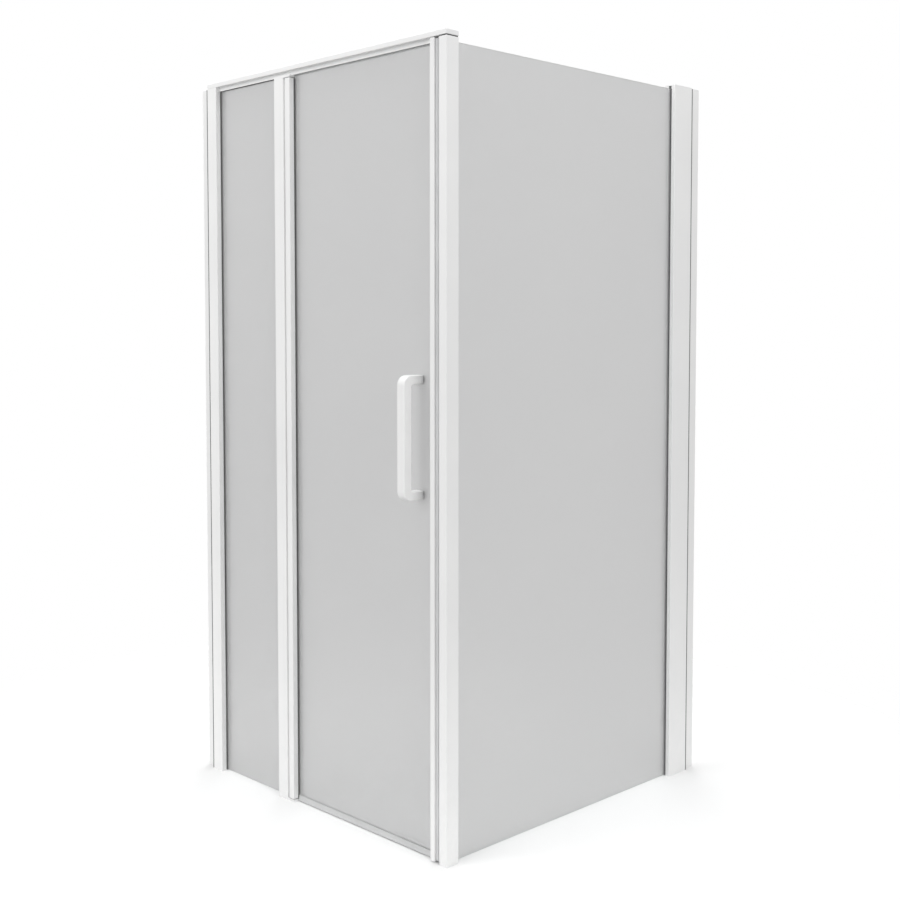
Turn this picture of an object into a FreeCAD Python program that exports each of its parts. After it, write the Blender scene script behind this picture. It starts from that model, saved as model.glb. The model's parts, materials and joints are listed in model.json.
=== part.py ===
"""Corner shower enclosure: a hinged front door beside a fixed pane, a corner post and a side pane."""
import FreeCAD
import Part

import math
import os

Vector = FreeCAD.Vector

# Overall size, in millimetres
front_width = 1000.0
side_depth = 1000.0
total_height = 1950.0

# Panes and the gaskets that hold them
glass_thickness = 6.0
glass_bite = 8.0
glass_edge_gap = 1.5
glass_floor_gap = 3.0
glass_arris = 0.6
gasket_thickness = 2.2
gasket_bead_width = 1.2
gasket_bead_height = 2.6
gasket_bead_radius = 0.8

# Extruded uprights
front_frame_depth = 40.0
side_frame_depth = 34.0
profile_wall = 1.8
profile_edge_radius = 1.2

# Wall channels and the adjusting profiles that slide over them
channel_width = 20.0
channel_wall = 1.8
channel_gap = 0.3
channel_overlap = 20.0
wiper_width = 4.0
wiper_inset = 0.4
wiper_round = 1.0
front_channel_show = 36.5
side_channel_show = 42.0
front_adjust_width = 42.0
side_adjust_width = 80.0
wall_hole_radius = 2.6
wall_hole_inset = 150.0
wall_hole_inner_span = 600.0
screw_port_width = 8.0

# Widths seen on the front, from the wall to the corner
fixed_view_width = 269.0
post_width = 39.0
hinge_face_width = 27.5
close_face_width = 14.5
magnet_gap = 16.5
corner_face_width = 24.5

# Hinge
opening_angle = 105.0
barrel_radius = 8.0
barrel_gap = 0.5
rear_gap = 1.0
pivot_plate = 6.0
pivot_pin_radius = 3.0
pivot_pin_reach = 22.0
pivot_pin_floor = 1.0
pivot_pin_chamfer = 0.6
pivot_run_gap = 0.05
bush_radius = 5.0
bush_length = 25.0
bush_flange = 2.0
bush_flange_inset = 0.4
thrust_gap = 0.2
gap_seal_width = 3.0
gap_seal_root = 1.6
gap_seal_clearance = 0.3

# Door heights
close_floor_gap = 4.0
close_head_gap = 2.0
close_cap = 2.5
door_glass_rise = 1.0
door_head_gap = 3.0
door_notch_gap = 2.0

# Magnetic closing strips
track_lip = 1.8
track_head_depth = 1.9
track_mouth = 5.0
track_head = 10.0
track_gap = 0.1
carrier_width = 30.0
carrier_skin = 1.6
magnet_air = 1.0
magnet_width = 8.0
magnet_depth = 4.0

# Header rail
header_height = 12.0
header_wall = 1.8
header_lip_height = 10.0
header_lip_wall = 2.0
header_lip_end_gap = 2.0
header_cap = 3.0
header_seal_fin = 2.0
header_seal_gap = 0.8

# Feet, plugs and caps
fit_gap = 0.2
press_gap = 0.02
spigot_length = 20.0
foot_plate = 4.0
connector_plate = 3.0
connector_inset = 1.5
top_cap = 2.0
cap_plug_length = 10.0

# Bottom seal of the door
seal_wall = 1.4
seal_leg = 8.0
seal_floor_gap = 2.0
seal_end_gap = 0.5

# Screws
screw_radius = 1.9
screw_gap = 0.2
screw_head_radius = 4.0
screw_head_height = 2.4
screw_head_round = 0.9
screw_socket_width = 2.5
screw_socket_depth = 1.4
screw_tip = 3.0
pivot_screw_grip = 9.0
header_screw_length = 24.0
plug_radius = 4.6
screw_cap_radius = 6.0
screw_cap_height = 4.2
screw_cap_wall = 1.2
screw_cap_round = 1.5
adjust_screw_shares = (0.1, 0.5, 0.9)

# Bow handle
handle_width = 26.0
handle_grip = 24.0
handle_leg = 22.0
handle_reach = 62.0
handle_centres = 275.0
handle_height = 1010.0
handle_edge_distance = 53.0
handle_bend_radius = 24.0
handle_inner_radius = 6.0
handle_edge_radius = 3.0
handle_pad = 1.0
handle_bolt_radius = 3.0
handle_bolt_grip = 14.0
sleeve_radius = 5.0
rosette_radius = 11.0
rosette_height = 6.0
rosette_floor = 2.4
rosette_round = 1.5
bolt_head_radius = 5.4
bolt_head_height = 3.0
bolt_socket_width = 4.0
bolt_socket_depth = 1.8

# How far a cutting tool runs past what it cuts
overrun = 5.0

# Flats of a socket screw
hex_sides = 6

# Largest slant, as a share of its length, of an edge that counts as parallel
parallel_share = 1e-6

# Room planes: the origin lies under the middle of the whole, handle included
left_wall_x = -front_width / 2
side_face_x = front_width / 2

# Slot that takes a pane with a gasket on each face
slot_width = glass_thickness + 2 * gasket_thickness
pocket_depth = glass_bite + glass_edge_gap
front_middle = front_frame_depth / 2
side_middle = side_frame_depth / 2
front_glass_face = front_middle - glass_thickness / 2
front_glass_back = front_middle + glass_thickness / 2
front_slot = (front_middle - slot_width / 2, front_middle + slot_width / 2)
side_slot = (side_middle - slot_width / 2, side_middle + slot_width / 2)

handle_overhang = handle_reach - front_glass_face
front_face_y = handle_overhang - (side_depth + handle_overhang) / 2
back_wall_y = front_face_y + side_depth

# Places along the front, measured from the left wall
adjust_left = front_channel_show
adjust_right = adjust_left + front_adjust_width
post_left = adjust_right + fixed_view_width
post_right = post_left + post_width
corner_left = front_width - corner_face_width
close_right = corner_left - magnet_gap
close_left = close_right - close_face_width
hinge_right = post_right + hinge_face_width
handle_u = close_left - handle_edge_distance

# Hinge axis: set back so that the opened door clears the bevelled edge of the post
stop_slant = math.radians(opening_angle - 90.0)
groove_radius = barrel_radius + barrel_gap
axis_v = barrel_radius
axis_u = post_right + (groove_radius + axis_v * math.sin(stop_slant)) / math.cos(stop_slant)
post_rear = axis_u - rear_gap

# Places along the side, measured from the back wall
side_adjust_left = side_channel_show
side_adjust_right = side_adjust_left + side_adjust_width
side_post_face = side_depth - front_frame_depth

# Heights
frame_top = total_height - header_height
lip_bottom = frame_top - header_lip_height
channel_top = frame_top - top_cap
post_bottom = pivot_plate
post_top = lip_bottom - pivot_plate
door_bottom = pivot_plate + thrust_gap + bush_flange
door_top = post_top - thrust_gap - bush_flange
close_bottom = close_floor_gap + close_cap
close_top = frame_top - close_head_gap - close_cap
corner_bottom = foot_plate
corner_top = frame_top - connector_plate
fixed_glass_top = frame_top - glass_edge_gap
side_glass_top = lip_bottom
door_glass_bottom = door_bottom + door_glass_rise
door_glass_top = lip_bottom - door_head_gap
door_notch = door_top - door_glass_rise
wall_hole_heights = (
    wall_hole_inset,
    (frame_top - wall_hole_inner_span) / 2,
    (frame_top + wall_hole_inner_span) / 2,
    frame_top - wall_hole_inset,
)
adjust_screw_heights = [share * frame_top for share in adjust_screw_shares]


def front(u, v):
    """Plan point of the front: u from the left wall, v back from the front face."""
    return Vector(left_wall_x + u, front_face_y + v, 0)


def side(u, v):
    """Plan point of the side: u from the back wall, v in from the outer face."""
    return Vector(side_face_x - v, back_wall_y - u, 0)


def point(place, u, v, z):
    """Point in space on the given plan."""
    return place(u, v) + Vector(0, 0, z)


def along_u(place):
    """Direction in which u grows."""
    return place(1, 0) - place(0, 0)


def along_v(place):
    """Direction in which v grows."""
    return place(0, 1) - place(0, 0)


def slab(place, u_span, v_span, z_span):
    """Block between two plan corners and two heights."""
    near = place(u_span[0], v_span[0])
    far = place(u_span[1], v_span[1])
    low = Vector(min(near.x, far.x), min(near.y, far.y), z_span[0])
    return Part.makeBox(abs(far.x - near.x), abs(far.y - near.y), z_span[1] - z_span[0], low)


def softened(solid, radius, direction):
    """Solid with its straight edges along the given direction rounded."""
    edges = [edge for edge in solid.Edges if is_along(edge, direction)]
    return solid.makeFillet(radius, edges)


def rounded_at(solid, radius, direction, spot):
    """Solid with the straight edge along the direction and through the spot rounded."""
    edges = [
        edge
        for edge in solid.Edges
        if is_along(edge, direction) and (spot - edge.CenterOfMass).cross(direction).Length < press_gap
    ]
    return solid.makeFillet(radius, edges)


def is_along(edge, direction):
    """True for a straight edge that runs along the direction."""
    run = edge.Vertexes[-1].Point - edge.Vertexes[0].Point
    return run.Length > 0 and run.cross(direction).Length < run.Length * parallel_share


def upright(place, u_span, v_span, z_span):
    """Block with rounded upright edges."""
    return softened(slab(place, u_span, v_span, z_span), profile_edge_radius, Vector(0, 0, 1))


def rod(start, heading, length, radius):
    """Round bar from a start point."""
    return Part.makeCylinder(radius, length, start, heading)


def hex_bar(start, heading, length, width):
    """Six-sided bar from a start point, by its width across flats."""
    corner = width / math.sqrt(3.0)
    turns = [math.tau * step / hex_sides for step in range(hex_sides)]
    spots = [Vector(corner * math.cos(turn), corner * math.sin(turn), 0) for turn in turns]
    ring = Part.makePolygon(spots + spots[:1])
    bar = Part.Face(ring).extrude(Vector(0, 0, length))
    bar.Placement = FreeCAD.Placement(start, FreeCAD.Rotation(Vector(0, 0, 1), heading))
    return bar


def joined(first, *others):
    """One clean solid out of touching ones."""
    return first.fuse(list(others)).removeSplitter()


def past(span):
    """Span run past at both ends, for a cut."""
    return (span[0] - overrun, span[1] + overrun)


def inset(span, gap):
    """Span drawn in at both ends."""
    return (span[0] + gap, span[1] - gap)


def about(middle, width):
    """Span of a width about a middle."""
    return (middle - width / 2, middle + width / 2)


def chambers(place, spans, z_span):
    """Hollows of an extrusion; a span too narrow to be hollow is left solid."""
    roomy = [
        (u_span, v_span)
        for u_span, v_span in spans
        if min(u_span[1] - u_span[0], v_span[1] - v_span[0]) > profile_wall
    ]
    return [slab(place, u_span, v_span, past(z_span)) for u_span, v_span in roomy]


def pan_screw(seat, heading, length):
    """Screw with its head on the seat and its shank along the heading."""
    head = rod(seat, heading * -1, screw_head_height, screw_head_radius)
    head_top = seat - heading * screw_head_height
    rim = [edge for edge in head.Edges if edge.Closed and edge.CenterOfMass.isEqual(head_top, press_gap)]
    head = head.makeFillet(screw_head_round, rim)
    socket = hex_bar(head_top, heading, screw_socket_depth, screw_socket_width)
    return joined(head.cut(socket), rod(seat, heading, length, screw_radius))


def screw_cap(seat, heading):
    """Cup that hides a screw head; its open end stands on the seat."""
    away = heading * -1
    cup = rod(seat, away, screw_cap_height, screw_cap_radius)
    cup_top = seat + away * screw_cap_height
    rim = [edge for edge in cup.Edges if edge.Closed and edge.CenterOfMass.isEqual(cup_top, press_gap)]
    cup = cup.makeFillet(screw_cap_round, rim)
    room = rod(seat, away, screw_cap_height - screw_cap_wall, screw_cap_radius - screw_cap_wall)
    return cup.cut(room)


# Wall channels and adjusting profiles


def channel_span(depth):
    """Span of the wall channel across the frame depth."""
    return about(depth / 2, channel_width)


def adjust_seats(place, show, depth):
    """Seats of the screws that lock an adjusting profile to its channel."""
    return [point(place, show + channel_overlap / 2, depth, z) for z in adjust_screw_heights]


def adjust_screw_length(depth):
    """From the inner face of the adjusting profile through the channel flange."""
    return depth - channel_span(depth)[1] + channel_wall + screw_tip


def wall_channel(place, show, depth):
    """U-shaped channel screwed to the wall."""
    v_span = channel_span(depth)
    reach = show + channel_overlap
    z_span = (0, channel_top)
    body = slab(place, (0, reach), v_span, z_span)
    hollow = slab(place, (channel_wall, reach + overrun), inset(v_span, channel_wall), past(z_span))
    drill = channel_wall + 2 * overrun
    holes = [
        rod(point(place, -overrun, depth / 2, z), along_u(place), drill, wall_hole_radius)
        for z in wall_hole_heights
    ]
    inward = along_v(place) * -1
    pilots = [
        rod(seat, inward, adjust_screw_length(depth), screw_radius + press_gap)
        for seat in adjust_seats(place, show, depth)
    ]
    return body.cut([hollow] + holes + pilots)


def channel_cap(place, show, depth):
    """Plug that closes the open top of a wall channel."""
    v_span = channel_span(depth)
    plate = slab(place, (0, show - fit_gap), v_span, (channel_top, frame_top))
    plug_u = (channel_wall + fit_gap, show - fit_gap)
    plug_z = (channel_top - cap_plug_length, channel_top)
    plug = slab(place, plug_u, inset(v_span, channel_wall + fit_gap), plug_z)
    return joined(plate, plug)


def channel_wipers(place, show, depth):
    """Soft strips that close the steps between a wall channel and its adjusting profile."""
    channel = channel_span(depth)
    u_span = (show - wiper_width, show)
    outer = slab(place, u_span, (wiper_inset, channel[0]), (0, channel_top))
    inner = slab(place, u_span, (channel[1], depth - wiper_inset), (0, channel_top))
    return Part.makeCompound([
        rounded_at(outer, wiper_round, Vector(0, 0, 1), place(u_span[0], wiper_inset)),
        rounded_at(inner, wiper_round, Vector(0, 0, 1), place(u_span[0], depth - wiper_inset)),
    ])


def port_place(depth):
    """Place across the depth of the screw port that takes the header screw."""
    return (channel_span(depth)[0] - channel_gap) / 2


def adjust_profile(place, show, width, depth, top, with_port):
    """Hollow profile that slides over the wall channel and holds the edge of a pane."""
    z_span = (0, top)
    left, right = show, show + width
    mouth = inset(channel_span(depth), -channel_gap)
    slot = about(depth / 2, slot_width)
    guide_u = (left, left + channel_overlap)
    shell = upright(place, (left, right), (0, depth), z_span)
    hollow = slab(place, inset((left, right), profile_wall), inset((0, depth), profile_wall), past(z_span))
    guides = [
        slab(place, guide_u, (mouth[0] - profile_wall, mouth[0]), z_span),
        slab(place, guide_u, (mouth[1], mouth[1] + profile_wall), z_span),
    ]
    pocket_u = (right - pocket_depth - profile_wall, right - profile_wall)
    pocket = slab(place, pocket_u, inset(slot, -profile_wall), z_span)
    solids = guides + [pocket]
    if with_port:
        port_u = about(left + channel_overlap / 2, screw_port_width)
        solids.append(slab(place, port_u, (profile_wall, mouth[0] - profile_wall), z_span))
    cuts = [
        slab(place, (left - overrun, left + profile_wall), mouth, past(z_span)),
        slab(place, (right - pocket_depth, right + overrun), slot, past(z_span)),
    ]
    inward = along_v(place) * -1
    reach = depth - mouth[1]
    seats = adjust_seats(place, show, depth)
    cuts += [rod(seat, inward, reach, screw_radius + screw_gap) for seat in seats]
    if with_port:
        start = point(place, left + channel_overlap / 2, port_place(depth), top)
        cuts.append(rod(start, Vector(0, 0, -1), header_screw_length, screw_radius + press_gap))
    return joined(shell.cut(hollow), *solids).cut(cuts)


def adjust_screws(place, show, depth):
    """Screws that lock an adjusting profile, driven from inside the shower."""
    inward = along_v(place) * -1
    length = adjust_screw_length(depth)
    return Part.makeCompound([pan_screw(seat, inward, length) for seat in adjust_seats(place, show, depth)])


def adjust_screw_caps(place, show, depth):
    """Push-on covers of the locking screws."""
    inward = along_v(place) * -1
    return Part.makeCompound([screw_cap(seat, inward) for seat in adjust_seats(place, show, depth)])


def side_profile_cap():
    """Cap on the open top of the side adjusting profile."""
    u_span = (side_adjust_left, side_adjust_right)
    plate = upright(side, u_span, (0, side_frame_depth), (channel_top, frame_top))
    plug_left = side_adjust_left + channel_overlap + profile_wall
    plug_right = side_adjust_right - pocket_depth - profile_wall - fit_gap
    plug_z = (channel_top - cap_plug_length, channel_top)
    plug_v = inset((0, side_frame_depth), profile_wall + fit_gap)
    plug = slab(side, (plug_left, plug_right), plug_v, plug_z)
    return joined(plate, plug)


# Panes, gaskets and setting blocks


def pane(place, u_span, depth, z_span):
    """Flat sheet of glass in the middle of the frame depth, with ground edges."""
    sheet = slab(place, u_span, about(depth / 2, glass_thickness), z_span)
    return sheet.makeChamfer(glass_arris, sheet.Edges)


def gasket(place, face_u, outward, glass_v, away, z_span):
    """Strip in the glass slot with a rounded bead that shows along the profile."""
    strip_u = sorted((face_u - outward * glass_bite, face_u))
    strip_v = sorted((glass_v, glass_v + away * gasket_thickness))
    bead_end = face_u + outward * gasket_bead_width
    bead_face = glass_v + away * gasket_bead_height
    strip = slab(place, strip_u, strip_v, z_span)
    bead = slab(place, sorted((face_u, bead_end)), sorted((glass_v, bead_face)), z_span)
    bead = rounded_at(bead, gasket_bead_radius, Vector(0, 0, 1), place(bead_end, bead_face))
    return joined(strip, bead)


def glazing(place, face_u, outward, depth, z_span):
    """The outer and the inner gasket along one upright edge of a pane."""
    glass = about(depth / 2, glass_thickness)
    outer = gasket(place, face_u, outward, glass[0], -1, z_span)
    inner = gasket(place, face_u, outward, glass[1], 1, z_span)
    return Part.makeCompound([outer, inner])


def setting_block(place, face_u, inward, depth):
    """Pad under the corner of a fixed pane, inside the pocket."""
    u_span = sorted((face_u, face_u + inward * glass_bite))
    return slab(place, u_span, about(depth / 2, glass_thickness), (0, glass_floor_gap))


def fixed_glass():
    """Fixed pane in line with the door."""
    u_span = (adjust_right - glass_bite, post_left + glass_bite)
    return pane(front, u_span, front_frame_depth, (glass_floor_gap, fixed_glass_top))


def side_glass():
    """Pane on the side of the enclosure."""
    u_span = (side_adjust_right - glass_bite, side_post_face + glass_bite)
    return pane(side, u_span, side_frame_depth, (glass_floor_gap, side_glass_top))


def fixed_glass_setting_blocks():
    """Pads under the two lower corners of the fixed pane."""
    return Part.makeCompound([
        setting_block(front, adjust_right, -1, front_frame_depth),
        setting_block(front, post_left, 1, front_frame_depth),
    ])


def side_glass_setting_blocks():
    """Pads under the two lower corners of the side pane."""
    return Part.makeCompound([
        setting_block(side, side_adjust_right, -1, side_frame_depth),
        setting_block(side, side_post_face, 1, side_frame_depth),
    ])


# Hinge post and pivots

post_chamber_u = (post_left + pocket_depth + profile_wall, post_right - profile_wall)
post_chamber_v = (profile_wall, front_frame_depth - profile_wall)
post_screw_u = sum(post_chamber_u) / 2


def hinge_bar(radius, z_span):
    """Round bar on the hinge axis."""
    return rod(point(front, axis_u, axis_v, z_span[0]), Vector(0, 0, 1), z_span[1] - z_span[0], radius)


def swing_relief(z_span):
    """Wedge in front of the groove that lets the door open to its stop."""
    slope = Vector(-math.sin(stop_slant), -math.cos(stop_slant), 0)
    axis = front(axis_u, axis_v)
    touch = axis + Vector(-groove_radius * math.cos(stop_slant), groove_radius * math.sin(stop_slant), 0)
    edge = touch + slope * (groove_radius + axis_v + overrun)
    beyond = axis + Vector(groove_radius, 0, 0)
    corners = [touch, edge, Vector(beyond.x, edge.y, 0), beyond, axis, touch]
    wedge = Part.Face(Part.makePolygon(corners)).extrude(Vector(0, 0, z_span[1] - z_span[0]))
    wedge.translate(Vector(0, 0, z_span[0]))
    return wedge


def gap_seal_span():
    """Span of the hinge gap seal across the frame depth, behind the swing of the door."""
    return (axis_v + gap_seal_width / 2, axis_v + gap_seal_width * 3 / 2)


def gap_seal_key():
    """Span of the hinge gap seal along the front, from its root to the axis."""
    return (axis_u - groove_radius - gap_seal_root, axis_u)


def back_seat(z):
    """Seat of a pivot screw on the inner face of the hinge post."""
    return point(front, post_screw_u, front_frame_depth, z)


def pivot_screw_heights():
    """Heights of the screws that hold the two pivot brackets."""
    return (post_bottom + spigot_length / 2, post_top - spigot_length / 2)


def hinge_post():
    """Upright that holds the fixed pane and wraps the barrel of the door."""
    z_span = (post_bottom, post_top)
    body = upright(front, (post_left, post_rear), (0, front_frame_depth), z_span)
    rear_chamber_u = (post_right, post_rear - profile_wall)
    rear_chamber_v = (axis_v + groove_radius + profile_wall, front_frame_depth - profile_wall)
    hollows = chambers(front, [(post_chamber_u, post_chamber_v), (rear_chamber_u, rear_chamber_v)], z_span)
    cuts = [
        slab(front, (post_left - overrun, post_left + pocket_depth), front_slot, past(z_span)),
        hinge_bar(groove_radius, past(z_span)),
        swing_relief(past(z_span)),
        slab(front, gap_seal_key(), gap_seal_span(), past(z_span)),
    ]
    inward = along_v(front) * -1
    cuts += [
        rod(back_seat(z), inward, profile_wall, screw_radius + screw_gap) for z in pivot_screw_heights()
    ]
    return rounded_at(body.cut(hollows + cuts), profile_edge_radius, Vector(0, 0, 1), front(post_right, 0))


def hinge_gap_seal():
    """Soft strip in the hinge post that closes the gap to the barrel."""
    z_span = (post_bottom, post_top)
    strip = slab(front, gap_seal_key(), gap_seal_span(), z_span)
    return strip.cut(hinge_bar(barrel_radius + gap_seal_clearance, past(z_span)))


def pivot_plate_block(z_span):
    """Plate over or under the hinge post and the hinge profile, open for the fixed pane."""
    plate = upright(front, (post_left, hinge_right), (0, front_frame_depth), z_span)
    return plate.cut(slab(front, (post_left - overrun, post_left + pocket_depth), front_slot, past(z_span)))


def pivot_spigot(z_span):
    """Part of a pivot bracket that fills the hollow of the hinge post."""
    return slab(front, inset(post_chamber_u, fit_gap), inset(post_chamber_v, fit_gap), z_span)


def pivot_pilot(z):
    """Thread hole for a pivot screw."""
    return rod(back_seat(z), along_v(front) * -1, pivot_screw_length(), screw_radius + press_gap)


def pivot_screw_length():
    """Through the wall of the hinge post into the spigot."""
    return profile_wall + fit_gap + pivot_screw_grip


def lower_pivot_bracket():
    """Foot of the hinge post that carries the lower pivot pin."""
    plate = pivot_plate_block((0, pivot_plate))
    spigot = pivot_spigot((pivot_plate, pivot_plate + spigot_length))
    bore = hinge_bar(pivot_pin_radius + press_gap, (pivot_pin_floor, pivot_plate + overrun))
    return joined(plate, spigot).cut([bore, pivot_pilot(pivot_screw_heights()[0])])


def upper_pivot_bracket():
    """Head of the hinge post: carries the upper pin and keys into the header."""
    plate = pivot_plate_block((post_top, lip_bottom))
    spigot = pivot_spigot((post_top - spigot_length, post_top))
    tongue = slab(front, post_chamber_u, inset(front_slot, fit_gap), (lip_bottom, frame_top - fit_gap))
    bore = hinge_bar(pivot_pin_radius + press_gap, (post_top - overrun, lip_bottom - pivot_pin_floor))
    seat = point(front, post_screw_u, front_middle, frame_top + header_wall)
    pilot = rod(seat, Vector(0, 0, -1), header_screw_length, screw_radius + press_gap)
    return joined(plate, spigot, tongue).cut([bore, pilot, pivot_pilot(pivot_screw_heights()[1])])


def pivot_pin(z_span, tip_z):
    """Steel pin on the hinge axis with a chamfered tip."""
    pin = hinge_bar(pivot_pin_radius, z_span)
    tip = point(front, axis_u, axis_v, tip_z)
    rim = [edge for edge in pin.Edges if edge.Closed and edge.CenterOfMass.isEqual(tip, press_gap)]
    return pin.makeChamfer(pivot_pin_chamfer, rim)


def lower_pivot_pin():
    """Pin that carries the door."""
    tip = pivot_plate + pivot_pin_reach
    return pivot_pin((pivot_pin_floor, tip), tip)


def upper_pivot_pin():
    """Pin that guides the head of the door."""
    tip = post_top - pivot_pin_reach
    return pivot_pin((tip, lip_bottom - pivot_pin_floor), tip)


def pivot_bracket_screws():
    """Screws that hold the pivot brackets in the hinge post."""
    inward = along_v(front) * -1
    return Part.makeCompound([
        pan_screw(back_seat(z), inward, pivot_screw_length()) for z in pivot_screw_heights()
    ])


# Door


def pivot_bush(tube_z, flange_z):
    """Flanged bearing bush pressed into the barrel."""
    tube = hinge_bar(bush_radius - press_gap, tube_z)
    flange = hinge_bar(barrel_radius - bush_flange_inset, flange_z)
    low = min(tube_z[0], flange_z[0])
    high = max(tube_z[1], flange_z[1])
    return joined(tube, flange).cut(hinge_bar(pivot_pin_radius + pivot_run_gap, past((low, high))))


def lower_pivot_bush():
    """Bush that runs on the lower pin and carries the weight of the door on its flange."""
    return pivot_bush((door_bottom, door_bottom + bush_length), (door_bottom - bush_flange, door_bottom))


def upper_pivot_bush():
    """Bush that runs on the upper pin."""
    return pivot_bush((door_top - bush_length, door_top), (door_top, door_top + bush_flange))


def door_hinge_profile():
    """Hinge upright of the door: round barrel and glass pocket in one extrusion."""
    z_span = (door_bottom, door_top)
    block = slab(front, (axis_u, hinge_right), (0, front_frame_depth), z_span)
    spots = [front(hinge_right, 0), front(hinge_right, front_frame_depth), front(axis_u, front_frame_depth)]
    for spot in spots:
        block = rounded_at(block, profile_edge_radius, Vector(0, 0, 1), spot)
    body = joined(block, hinge_bar(barrel_radius, z_span))
    inner_right = hinge_right - profile_wall
    front_room = (profile_wall, front_slot[0] - profile_wall)
    rear_room = (front_slot[1] + profile_wall, front_frame_depth - profile_wall)
    spans = [
        ((axis_u + barrel_radius, inner_right), front_room),
        ((axis_u + profile_wall, inner_right), rear_room),
    ]
    cuts = [
        slab(front, (hinge_right - pocket_depth, hinge_right + overrun), front_slot, past(z_span)),
        hinge_bar(bush_radius, past(z_span)),
    ]
    return body.cut(chambers(front, spans, z_span) + cuts)


def handle_bolt_heights():
    """Heights of the two handle bolts."""
    return about(handle_height, handle_centres)


def door_glass():
    """Pane of the door, notched round the upper pivot and drilled for the handle."""
    u_span = (hinge_right - glass_bite, close_left + glass_bite)
    sheet = pane(front, u_span, front_frame_depth, (door_glass_bottom, door_glass_top))
    notch_u = (u_span[0] - overrun, hinge_right + door_notch_gap)
    notch = slab(front, notch_u, past(front_slot), (door_notch, door_glass_top + overrun))
    holes = [
        rod(point(front, handle_u, -overrun, z), along_v(front), front_frame_depth, sleeve_radius + fit_gap)
        for z in handle_bolt_heights()
    ]
    return sheet.cut([notch] + holes)


def seal_track(face_u, inward, z_span):
    """T-shaped groove that takes the root of a magnetic strip."""
    mouth_u = sorted((face_u - inward * overrun, face_u + inward * track_lip))
    head_u = sorted((face_u + inward * track_lip, face_u + inward * (track_lip + track_head_depth)))
    return [
        slab(front, mouth_u, about(front_middle, track_mouth), past(z_span)),
        slab(front, head_u, about(front_middle, track_head), past(z_span)),
    ]


def close_chambers():
    """Hollows of the closing profile in front of and behind the glass pocket."""
    u_span = inset((close_left, close_right), profile_wall)
    return [
        (u_span, (profile_wall, front_slot[0] - profile_wall)),
        (u_span, (front_slot[1] + profile_wall, front_frame_depth - profile_wall)),
    ]


def door_close_profile():
    """Closing upright of the door."""
    z_span = (close_bottom, close_top)
    body = upright(front, (close_left, close_right), (0, front_frame_depth), z_span)
    pocket = slab(front, (close_left - overrun, close_left + pocket_depth), front_slot, past(z_span))
    cuts = chambers(front, close_chambers(), z_span) + seal_track(close_right, -1, z_span)
    return body.cut(cuts + [pocket])


def close_end_cap(plate_z, plug_z):
    """Cap with two plugs on one end of the closing profile."""
    plate = upright(front, (close_left, close_right), (0, front_frame_depth), plate_z)
    plugs = [
        slab(front, inset(u_span, fit_gap), inset(v_span, fit_gap), plug_z)
        for u_span, v_span in close_chambers()
    ]
    return joined(plate, *plugs)


def door_close_caps():
    """Both end caps of the closing profile."""
    return Part.makeCompound([
        close_end_cap((close_floor_gap, close_bottom), (close_bottom, close_bottom + cap_plug_length)),
        close_end_cap((close_top, close_top + close_cap), (close_top - cap_plug_length, close_top)),
    ])


carrier_depth = (magnet_gap - magnet_air) / 2


def magnet_room(face_u, outward, gap):
    """Spans of the magnet inside its carrier."""
    tip = face_u + outward * (carrier_depth - carrier_skin)
    u_span = sorted((tip, tip - outward * magnet_depth))
    return inset(u_span, gap), inset(about(front_middle, magnet_width), gap)


def magnet_carrier(face_u, outward, z_span):
    """Plastic strip with a T root in the profile and a hollow for the magnet."""
    head_near = face_u - outward * (track_lip + track_gap)
    head_far = face_u - outward * (track_lip + track_head_depth - track_gap)
    root_v = inset(about(front_middle, track_head), track_gap)
    root = slab(front, sorted((head_near, head_far)), root_v, z_span)
    stem_v = inset(about(front_middle, track_mouth), track_gap)
    stem = slab(front, sorted((face_u, head_near)), stem_v, z_span)
    body_u = sorted((face_u, face_u + outward * carrier_depth))
    body = slab(front, body_u, about(front_middle, carrier_width), z_span)
    body = softened(body, carrier_skin / 2, Vector(0, 0, 1))
    room_u, room_v = magnet_room(face_u, outward, 0)
    hollow_u = inset(body_u, carrier_skin)
    low, high = about(front_middle, carrier_width)
    spans = [
        (hollow_u, (low + carrier_skin, room_v[0] - carrier_skin)),
        (hollow_u, (room_v[1] + carrier_skin, high - carrier_skin)),
    ]
    cuts = chambers(front, spans, z_span) + [slab(front, room_u, room_v, past(z_span))]
    return joined(body, stem, root).cut(cuts)


def magnet_core(face_u, outward, z_span):
    """Flexible magnet inside a carrier."""
    core_u, core_v = magnet_room(face_u, outward, press_gap)
    return slab(front, core_u, core_v, z_span)


def door_bottom_seal():
    """Clear strip clipped on the lower edge of the door pane, with two lips towards the tray."""
    u_span = inset((hinge_right, close_left), gasket_bead_width + seal_end_gap)
    outer = (front_glass_face - seal_wall, front_glass_back + seal_wall)
    clip_z = (door_glass_bottom - seal_wall, door_glass_bottom + seal_leg)
    clip = slab(front, u_span, outer, clip_z)
    pane_v = (front_glass_face, front_glass_back)
    pane_room = slab(front, past(u_span), pane_v, (door_glass_bottom, door_glass_top))
    lip_z = (seal_floor_gap, door_glass_bottom)
    lips = [
        slab(front, u_span, (outer[0], front_glass_face), lip_z),
        slab(front, u_span, (front_glass_back, outer[1]), lip_z),
    ]
    return joined(clip.cut(pane_room), *lips)


# Handle


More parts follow.
